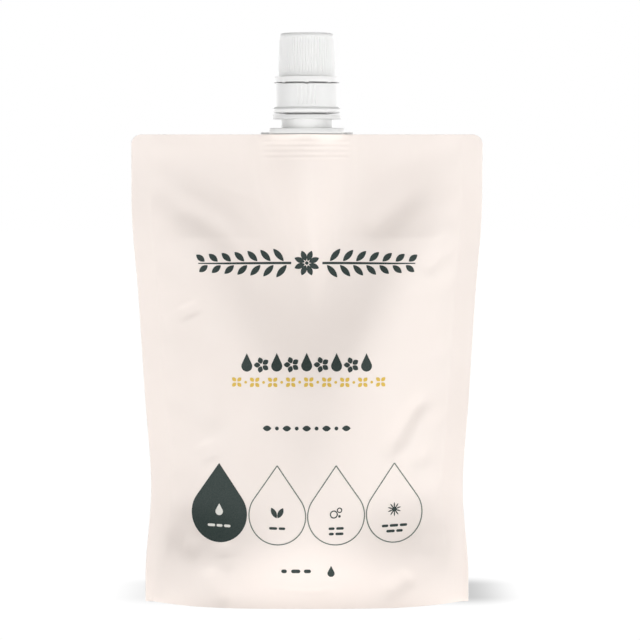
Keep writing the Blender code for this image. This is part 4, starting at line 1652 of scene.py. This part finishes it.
@dataclass
class Spout:
    """The moulded spout: boat, base flange, neck with guides, upper flange and tube."""

    bottom: float
    top: float
    flange_bottom: float
    thread: ScrewThread
    thread_turns: float = 1.75
    thread_rim_distance: float = 1.6 * MM
    tube_radius: float = 8.6 * MM
    bore_radius: float = 7.2 * MM
    boat_half_length: float = 19 * MM
    boat_half_depth: float = 8.9 * MM
    boat_tip: float = 0.6 * MM
    rib_count: int = 4
    rib_height: float = 1.0 * MM
    rib_pitch: float = 2.1 * MM
    rib_depth: float = 0.7 * MM
    rib_draft: float = 0.25 * MM
    flange_size: tuple[float, float] = (29.7 * MM, 22.0 * MM)
    flange_corner: float = 6 * MM
    flange_thickness: float = 2.1 * MM
    neck_radius: float = 10.15 * MM
    neck_height: float = 3.65 * MM
    guide_span: float = 22.5 * MM
    guide_thickness: float = 1.6 * MM
    upper_radius: float = 13.7 * MM
    upper_thickness: float = 1.7 * MM
    band_gap: float = 0.6 * MM
    collar_radius: float = 11.6 * MM
    collar_rise: float = 2.9 * MM
    collar_height: float = 1.2 * MM
    collar_taper: float = 1.8 * MM
    steps: int = 256

    def turned_outline(self) -> list[tuple[float, float]]:
        """Draw half of the section of all that is round, from the tube's rim down.

        Returns:
            (radius, height) points.
        """
        flange_top = self.flange_bottom + self.flange_thickness
        upper_bottom = flange_top + self.neck_height
        upper_top = upper_bottom + self.upper_thickness
        collar_bottom = upper_top + self.band_gap + self.collar_rise
        collar_top = collar_bottom + self.collar_height
        core = self.flange_bottom + self.flange_thickness / 2
        corners = [
            (0.0, self.top, 0.0),
            (self.tube_radius, self.top, 0.4 * MM),
            (self.tube_radius, collar_top + self.collar_taper, 0.3 * MM),
            (self.collar_radius, collar_top, 0.15 * MM),
            (self.collar_radius, collar_bottom, 0.1 * MM),
            (self.tube_radius, collar_bottom, 0.15 * MM),
            (self.tube_radius, upper_top, 0.2 * MM),
            (self.upper_radius, upper_top, 0.25 * MM),
            (self.upper_radius, upper_bottom, 0.25 * MM),
            (self.neck_radius, upper_bottom, 0.3 * MM),
            (self.neck_radius, core, 0.0),
            (0.0, core, 0.0),
        ]
        return round_corners(corners, 5)

    def boat_outline(self, inset: float) -> list[tuple[float, float]]:
        """Draw the boat's pointed oval.

        Args:
            inset: How far it lies inside the boat's outermost outline.

        Returns:
            The (x, y) points of the closed outline.
        """
        places = np.linspace(-self.boat_half_length, self.boat_half_length, 41)
        swell = 1 - ease(np.abs(places) / self.boat_half_length)
        depths = self.boat_tip + (self.boat_half_depth - self.boat_tip) * swell - inset
        depths = np.maximum(depths, self.boat_tip / 2)
        places = places * (self.boat_half_length - inset) / self.boat_half_length
        points = [(x, -d) for x, d in zip(places, depths)]
        return points + [(x, d) for x, d in zip(places[::-1], depths[::-1])]

    def boat(self) -> bmesh.types.BMesh:
        """Raise the boat through its weld ribs.

        Returns:
            The closed boat.
        """
        levels = []
        for i in range(self.rib_count):
            low = self.bottom + i * self.rib_pitch
            if i:
                levels.append((self.rib_depth, low - self.rib_draft))
            levels.append((0.15 * self.rib_depth, low))
            levels.append((0.0, low + 0.15 * MM))
            levels.append((0.0, low + self.rib_height - 0.15 * MM))
            levels.append((0.15 * self.rib_depth, low + self.rib_height))
            levels.append((self.rib_depth, low + self.rib_height + self.rib_draft))
        levels.append((self.rib_depth, self.flange_bottom + 0.5 * MM))
        return stack_levels(self.boat_outline, levels)

    def block(self, size: tuple[float, float, float], middle_z: float) -> bmesh.types.BMesh:
        """Make a block about the spout's axis.

        Args:
            size: Its sizes along x, y and z.
            middle_z: Its middle's height.

        Returns:
            The closed block.
        """
        bm = bmesh.new()
        bmesh.ops.create_cube(bm, size=1.0)
        bmesh.ops.scale(bm, verts=bm.verts, vec=size)
        bmesh.ops.translate(bm, verts=bm.verts, vec=(0.0, 0.0, middle_z))
        return bm

    def base_flange(self) -> bmesh.types.BMesh:
        """Shape the flange that sits on the pouch's top edge.

        Returns:
            A plate with round corners and eased edges.
        """
        size = (*self.flange_size, self.flange_thickness)
        bm = self.block(size, self.flange_bottom + self.flange_thickness / 2)
        upright = [e for e in bm.edges if abs(e.verts[0].co.z - e.verts[1].co.z) > 0.1 * MM]
        for offset, segments, edges in ((self.flange_corner, 10, upright), (0.25 * MM, 3, None)):
            if edges is None:
                edges = [
                    e
                    for e in bm.edges
                    if abs(e.verts[0].co.z - e.verts[1].co.z) < 0.1 * MM
                ]
            bmesh.ops.bevel(
                bm,
                geom=edges,
                offset=offset,
                segments=segments,
                profile=0.5,
                affect="EDGES",
                material=-1,
            )
        return bm

    def build(self) -> bpy.types.Object:
        """Build the spout and put it in its node's place.

        Returns:
            The spout's object.
        """
        turned = turn_outline(self.turned_outline(), self.steps)
        spout = finish_mesh("threaded_spout", turned, MouldedPlastic(Moulding.SPOUT).material())
        combine(spout, self.base_flange(), "UNION")
        combine(spout, self.boat(), "UNION")
        neck_middle = self.flange_bottom + self.flange_thickness + self.neck_height / 2
        guide_size = (self.guide_span, self.guide_thickness, self.neck_height + 0.8 * MM)
        combine(spout, self.block(guide_size, neck_middle), "UNION")
        thread_bottom = self.top - self.thread_rim_distance - self.thread_turns * self.thread.lead
        ridge = self.thread.ridge(self.tube_radius, 1.0, self.thread_turns, thread_bottom)
        combine(spout, ridge, "UNION")
        bore = turn_outline(
            [
                (0.0, self.bottom - 1 * MM),
                (self.bore_radius, self.bottom - 1 * MM),
                (self.bore_radius, self.top + 1 * MM),
                (0.0, self.top + 1 * MM),
            ],
            self.steps // 2,
        )
        combine(spout, bore, "DIFFERENCE")
        spout.data.shade_smooth()
        spout.data.set_sharp_from_angle(angle=math.radians(30))
        place_piece(spout, "pack", "spout_plastic", "spout")
        return spout


@dataclass(frozen=True)
class FoamFinish:
    """Closed-cell polyethylene foam, sliced from a sheet: pale, dull and finely pitted."""

    name: str = "sliced_polyethylene_foam"
    colour: str = "E9EAE8"
    roughness: float = 0.75
    cell_size: float = 0.45 * MM
    cell_depth: float = 0.05 * MM

    def material(self) -> bpy.types.Material:
        """Build the foam's material.

        Returns:
            A material whose cut cells show as small pits.
        """
        material, tree, output = new_material(self.name)
        place = add_node(tree, "ShaderNodeTexCoord", {}).outputs["Object"]
        cells = add_node(
            tree, "ShaderNodeTexVoronoi", {"Vector": place, "Scale": 1 / self.cell_size}
        )
        pits = add_node(
            tree,
            "ShaderNodeBump",
            {"Height": cells.outputs["Distance"], "Distance": self.cell_depth, "Strength": 1.0},
            invert=True,
        )
        shader = add_node(
            tree,
            "ShaderNodeBsdfPrincipled",
            {
                "Base Color": linear(self.colour),
                "Roughness": self.roughness,
                "Normal": pits.outputs["Normal"],
            },
        )
        tree.links.new(shader.outputs["BSDF"], output.inputs["Surface"])
        return material


@dataclass
class CapLiner:
    """The foam disc between the cap's ceiling and the tube's rim."""

    bottom: float
    top: float
    radius: float = 9.4 * MM

    def build(self) -> bpy.types.Object:
        """Build the liner and put it in its node's place.

        Returns:
            The liner's object.
        """
        corners = [
            (0.0, self.top, 0.0),
            (self.radius, self.top, 0.12 * MM),
            (self.radius, self.bottom, 0.12 * MM),
            (0.0, self.bottom, 0.0),
        ]
        bm = turn_outline(round_corners(corners, 3), 96)
        liner = finish_mesh("foam_liner", bm, FoamFinish().material())
        place_piece(liner, "liner", "liner_foam", "cap_liner")
        return liner


@dataclass
class Studio:
    """The white sweep, the softboxes and the camera."""

    image_width: int = 640
    camera_place: tuple[float, float, float] = (5.25 * MM, -1015 * MM, 173.5 * MM)
    pitch_degrees: float = 3.4
    millimetres_per_pixel: float = 0.4
    sensor: float = 36.0
    ambient: float = 2.75
    left_flag: float = 0.25
    right_flag: float = 0.7
    flag_start: float = 0.8
    ceiling: float = 0.06
    ceiling_start: float = 0.38
    glow: float = 0.93
    glow_start: float = 0.5
    glow_hole: tuple[float, float] = (34 * MM, 15 * MM)
    glow_rise: float = 26 * MM
    floor_white: float = 1.02
    shade_middle: tuple[float, float] = (3 * MM, 24 * MM)
    shade_half_size: tuple[float, float] = (61 * MM, 14 * MM)
    shade_fade: float = 26 * MM
    left_shade: float = 0.18
    right_shade: float = 0.42
    floor_radius: float = 6.0

    def add_camera(self) -> None:
        """Set the camera up so that a pixel spans its share of a millimetre at the pack."""
        data = bpy.data.cameras.new("camera")
        distance = -self.camera_place[1] / math.cos(math.radians(self.pitch_degrees))
        span = self.image_width * self.millimetres_per_pixel * MM
        data.sensor_width = self.sensor
        data.lens = self.sensor * distance / span
        camera = bpy.data.objects.new("camera", data)
        camera.location = self.camera_place
        camera.rotation_euler = (math.radians(90 - self.pitch_degrees), 0.0, 0.0)
        bpy.context.scene.collection.objects.link(camera)
        bpy.context.scene.camera = camera

    def distance_beyond(
        self,
        tree: bpy.types.NodeTree,
        middle: tuple[float, float],
        half_size: tuple[float, float],
    ) -> bpy.types.NodeSocket:
        """Measure how far each place on the floor lies outside a rectangle.

        Args:
            tree: The floor's node tree.
            middle: The rectangle's middle.
            half_size: Half its width and half its depth.

        Returns:
            The distance, which is 0 inside the rectangle.
        """
        place = add_node(tree, "ShaderNodeTexCoord", {}).outputs["Object"]
        shifted = add_node(
            tree, "ShaderNodeVectorMath", {0: place, 1: (*middle, 0.0)}, operation="SUBTRACT"
        )
        sizes = add_node(
            tree, "ShaderNodeVectorMath", {0: shifted.outputs["Vector"]}, operation="ABSOLUTE"
        )
        past = add_node(
            tree,
            "ShaderNodeVectorMath",
            {0: sizes.outputs["Vector"], 1: (*half_size, 0.0)},
            operation="SUBTRACT",
        )
        outside = add_node(
            tree,
            "ShaderNodeVectorMath",
            {0: past.outputs["Vector"], 1: (0.0, 0.0, 0.0)},
            operation="MAXIMUM",
        )
        return add_node(
            tree, "ShaderNodeVectorMath", {0: outside.outputs["Vector"]}, operation="LENGTH"
        ).outputs["Value"]

    def shade(self, tree: bpy.types.NodeTree) -> bpy.types.NodeSocket:
        """Work out the soft contact shade, which falls behind and to the right of the base.

        Args:
            tree: The floor's node tree.

        Returns:
            The strength of the floor's white, less the shade.
        """
        distance = self.distance_beyond(tree, self.shade_middle, self.shade_half_size)
        near = add_node(
            tree,
            "ShaderNodeMapRange",
            {"Value": distance, "From Max": self.shade_fade, "To Min": 1.0, "To Max": 0.0},
            interpolation_type="SMOOTHSTEP",
        ).outputs["Result"]
        place = add_node(tree, "ShaderNodeTexCoord", {}).outputs["Object"]
        half_width = self.shade_half_size[0]
        depth = add_node(
            tree,
            "ShaderNodeMapRange",
            {
                "Value": add_node(tree, "ShaderNodeSeparateXYZ", {"Vector": place}).outputs["X"],
                "From Min": -half_width,
                "From Max": half_width,
                "To Min": self.left_shade,
                "To Max": self.right_shade,
            },
        ).outputs["Result"]
        loss = add_node(tree, "ShaderNodeMath", {0: near, 1: depth}, operation="MULTIPLY")
        return add_node(
            tree,
            "ShaderNodeMath",
            {0: self.floor_white, 1: loss.outputs["Value"]},
            operation="SUBTRACT",
        ).outputs["Value"]

    def add_floor(self) -> None:
        """Lay the floor: a light table whose glow starts a little outside the pack's base."""
        material, tree, output = new_material("white_light_table")
        path = add_node(tree, "ShaderNodeLightPath", {})
        glow = add_node(
            tree,
            "ShaderNodeMapRange",
            {
                "Value": self.distance_beyond(tree, (0.0, 0.0), self.glow_hole),
                "From Max": self.glow_rise,
                "To Min": self.glow_start,
                "To Max": self.glow,
            },
            interpolation_type="SMOOTHSTEP",
        )
        board = add_node(tree, "ShaderNodeBsdfDiffuse", {"Color": (0.9, 0.9, 0.9, 1.0)})
        lit = add_node(
            tree,
            "ShaderNodeEmission",
            {"Color": (1, 1, 1, 1), "Strength": glow.outputs["Result"]},
        )
        table = add_node(
            tree, "ShaderNodeAddShader", {0: board.outputs["BSDF"], 1: lit.outputs["Emission"]}
        )
        seen = add_node(
            tree, "ShaderNodeEmission", {"Color": (1, 1, 1, 1), "Strength": self.shade(tree)}
        )
        total = add_node(
            tree,
            "ShaderNodeMixShader",
            {
                0: path.outputs["Is Camera Ray"],
                1: table.outputs["Shader"],
                2: seen.outputs["Emission"],
            },
        )
        tree.links.new(total.outputs["Shader"], output.inputs["Surface"])
        bm = bmesh.new()
        bmesh.ops.create_circle(bm, cap_ends=True, segments=96, radius=self.floor_radius)
        floor = finish_mesh("floor", bm, material)

    def add_softbox(
        self,
        name: str,
        place: tuple[float, float, float],
        target: tuple[float, float, float],
        size: tuple[float, float],
        power: float,
    ) -> None:
        """Hang one softbox and aim it.

        Args:
            name: The lamp's name.
            place: Where it hangs.
            target: The point that it faces.
            size: Its width and height.
            power: Its power in watts.
        """
        data = bpy.data.lights.new(name, "AREA")
        data.shape = "RECTANGLE"
        data.size, data.size_y = size
        data.energy = power
        lamp = bpy.data.objects.new(name, data)
        lamp.visible_camera = False
        lamp.location = place
        aim = Vector(target) - Vector(place)
        lamp.rotation_euler = aim.to_track_quat("-Z", "Y").to_euler()
        bpy.context.scene.collection.objects.link(lamp)

    def add_world(self) -> None:
        """Fill the room with an even light that the camera sees as white."""
        world = bpy.data.worlds.new("studio")
        world.use_nodes = True
        tree = world.node_tree
        tree.nodes.clear()
        path = add_node(tree, "ShaderNodeLightPath", {})
        direction = add_node(tree, "ShaderNodeTexCoord", {}).outputs["Generated"]
        axes = add_node(tree, "ShaderNodeSeparateXYZ", {"Vector": direction})
        dimmer = add_node(
            tree,
            "ShaderNodeMapRange",
            {
                "Value": axes.outputs["Z"],
                "From Min": 0.0,
                "From Max": self.ceiling_start,
                "To Min": self.ambient,
                "To Max": self.ceiling,
            },
        )
        strength = dimmer.outputs["Result"]
        for side, share in ((-1, self.left_flag), (1, self.right_flag)):
            flag = add_node(
                tree,
                "ShaderNodeMapRange",
                {
                    "Value": axes.outputs["X"],
                    "From Min": side * self.flag_start,
                    "From Max": side * 0.97,
                    "To Min": 1.0,
                    "To Max": share,
                },
                interpolation_type="SMOOTHSTEP",
            )
            strength = add_node(
                tree,
                "ShaderNodeMath",
                {0: strength, 1: flag.outputs["Result"]},
                operation="MULTIPLY",
            ).outputs["Value"]
        white = add_node(tree, "ShaderNodeBackground", {"Color": (1, 1, 1, 1), "Strength": 1.0})
        fill = add_node(
            tree, "ShaderNodeBackground", {"Color": (1, 1, 1, 1), "Strength": strength}
        )
        mix = add_node(
            tree,
            "ShaderNodeMixShader",
            {
                0: path.outputs["Is Camera Ray"],
                1: fill.outputs["Background"],
                2: white.outputs["Background"],
            },
        )
        output = add_node(tree, "ShaderNodeOutputWorld", {"Surface": mix.outputs["Shader"]})
        output.is_active_output = True
        bpy.context.scene.world = world

    def build(self) -> None:
        """Set the whole studio up."""
        bpy.context.scene.view_settings.view_transform = "Standard"
        self.add_camera()
        self.add_floor()
        self.add_world()
        middle = (0.0, 0.0, 0.10)
        self.add_softbox("cap_softbox", (0.0, 0.05, 0.40), (0.0, 0.0, 0.22), (0.16, 0.16), 0.16)
        self.add_softbox("right_softbox", (1.25, -0.55, 0.22), middle, (0.9, 0.9), 2.0)
        self.add_softbox("left_softbox", (-1.1, -0.6, 0.15), middle, (0.6, 0.6), 0.8)


def main() -> None:
    """Build the pack and its studio."""
    logging.basicConfig(level=logging.INFO, format="%(name)s %(message)s")
    Studio().build()
    pouch = FilledPouch()
    pouch.build()
    FrontPrint(pouch).build()
    thread = ScrewThread()
    spout_low, spout_high = (corner[2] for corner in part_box("spout"))
    Spout(spout_low, spout_high, pouch.height + pouch.fit_gap, thread).build()
    band_low, band_high = (corner[2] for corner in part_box("tamper_band"))
    TamperBand(band_low, band_high).build()
    cap_low, cap_high = (corner[2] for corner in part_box("screw_cap"))
    spout_thread = spout_high - Spout.thread_rim_distance - Spout.thread_turns * thread.lead
    cap_thread = spout_thread - thread.lead / 2
    ScrewCap(cap_low + ScrewCap.bridge_reach, cap_high, thread, cap_thread).build()
    liner_low, liner_high = (corner[2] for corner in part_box("cap_liner"))
    CapLiner(liner_low, liner_high).build()


if __name__ == "__main__":
    main()
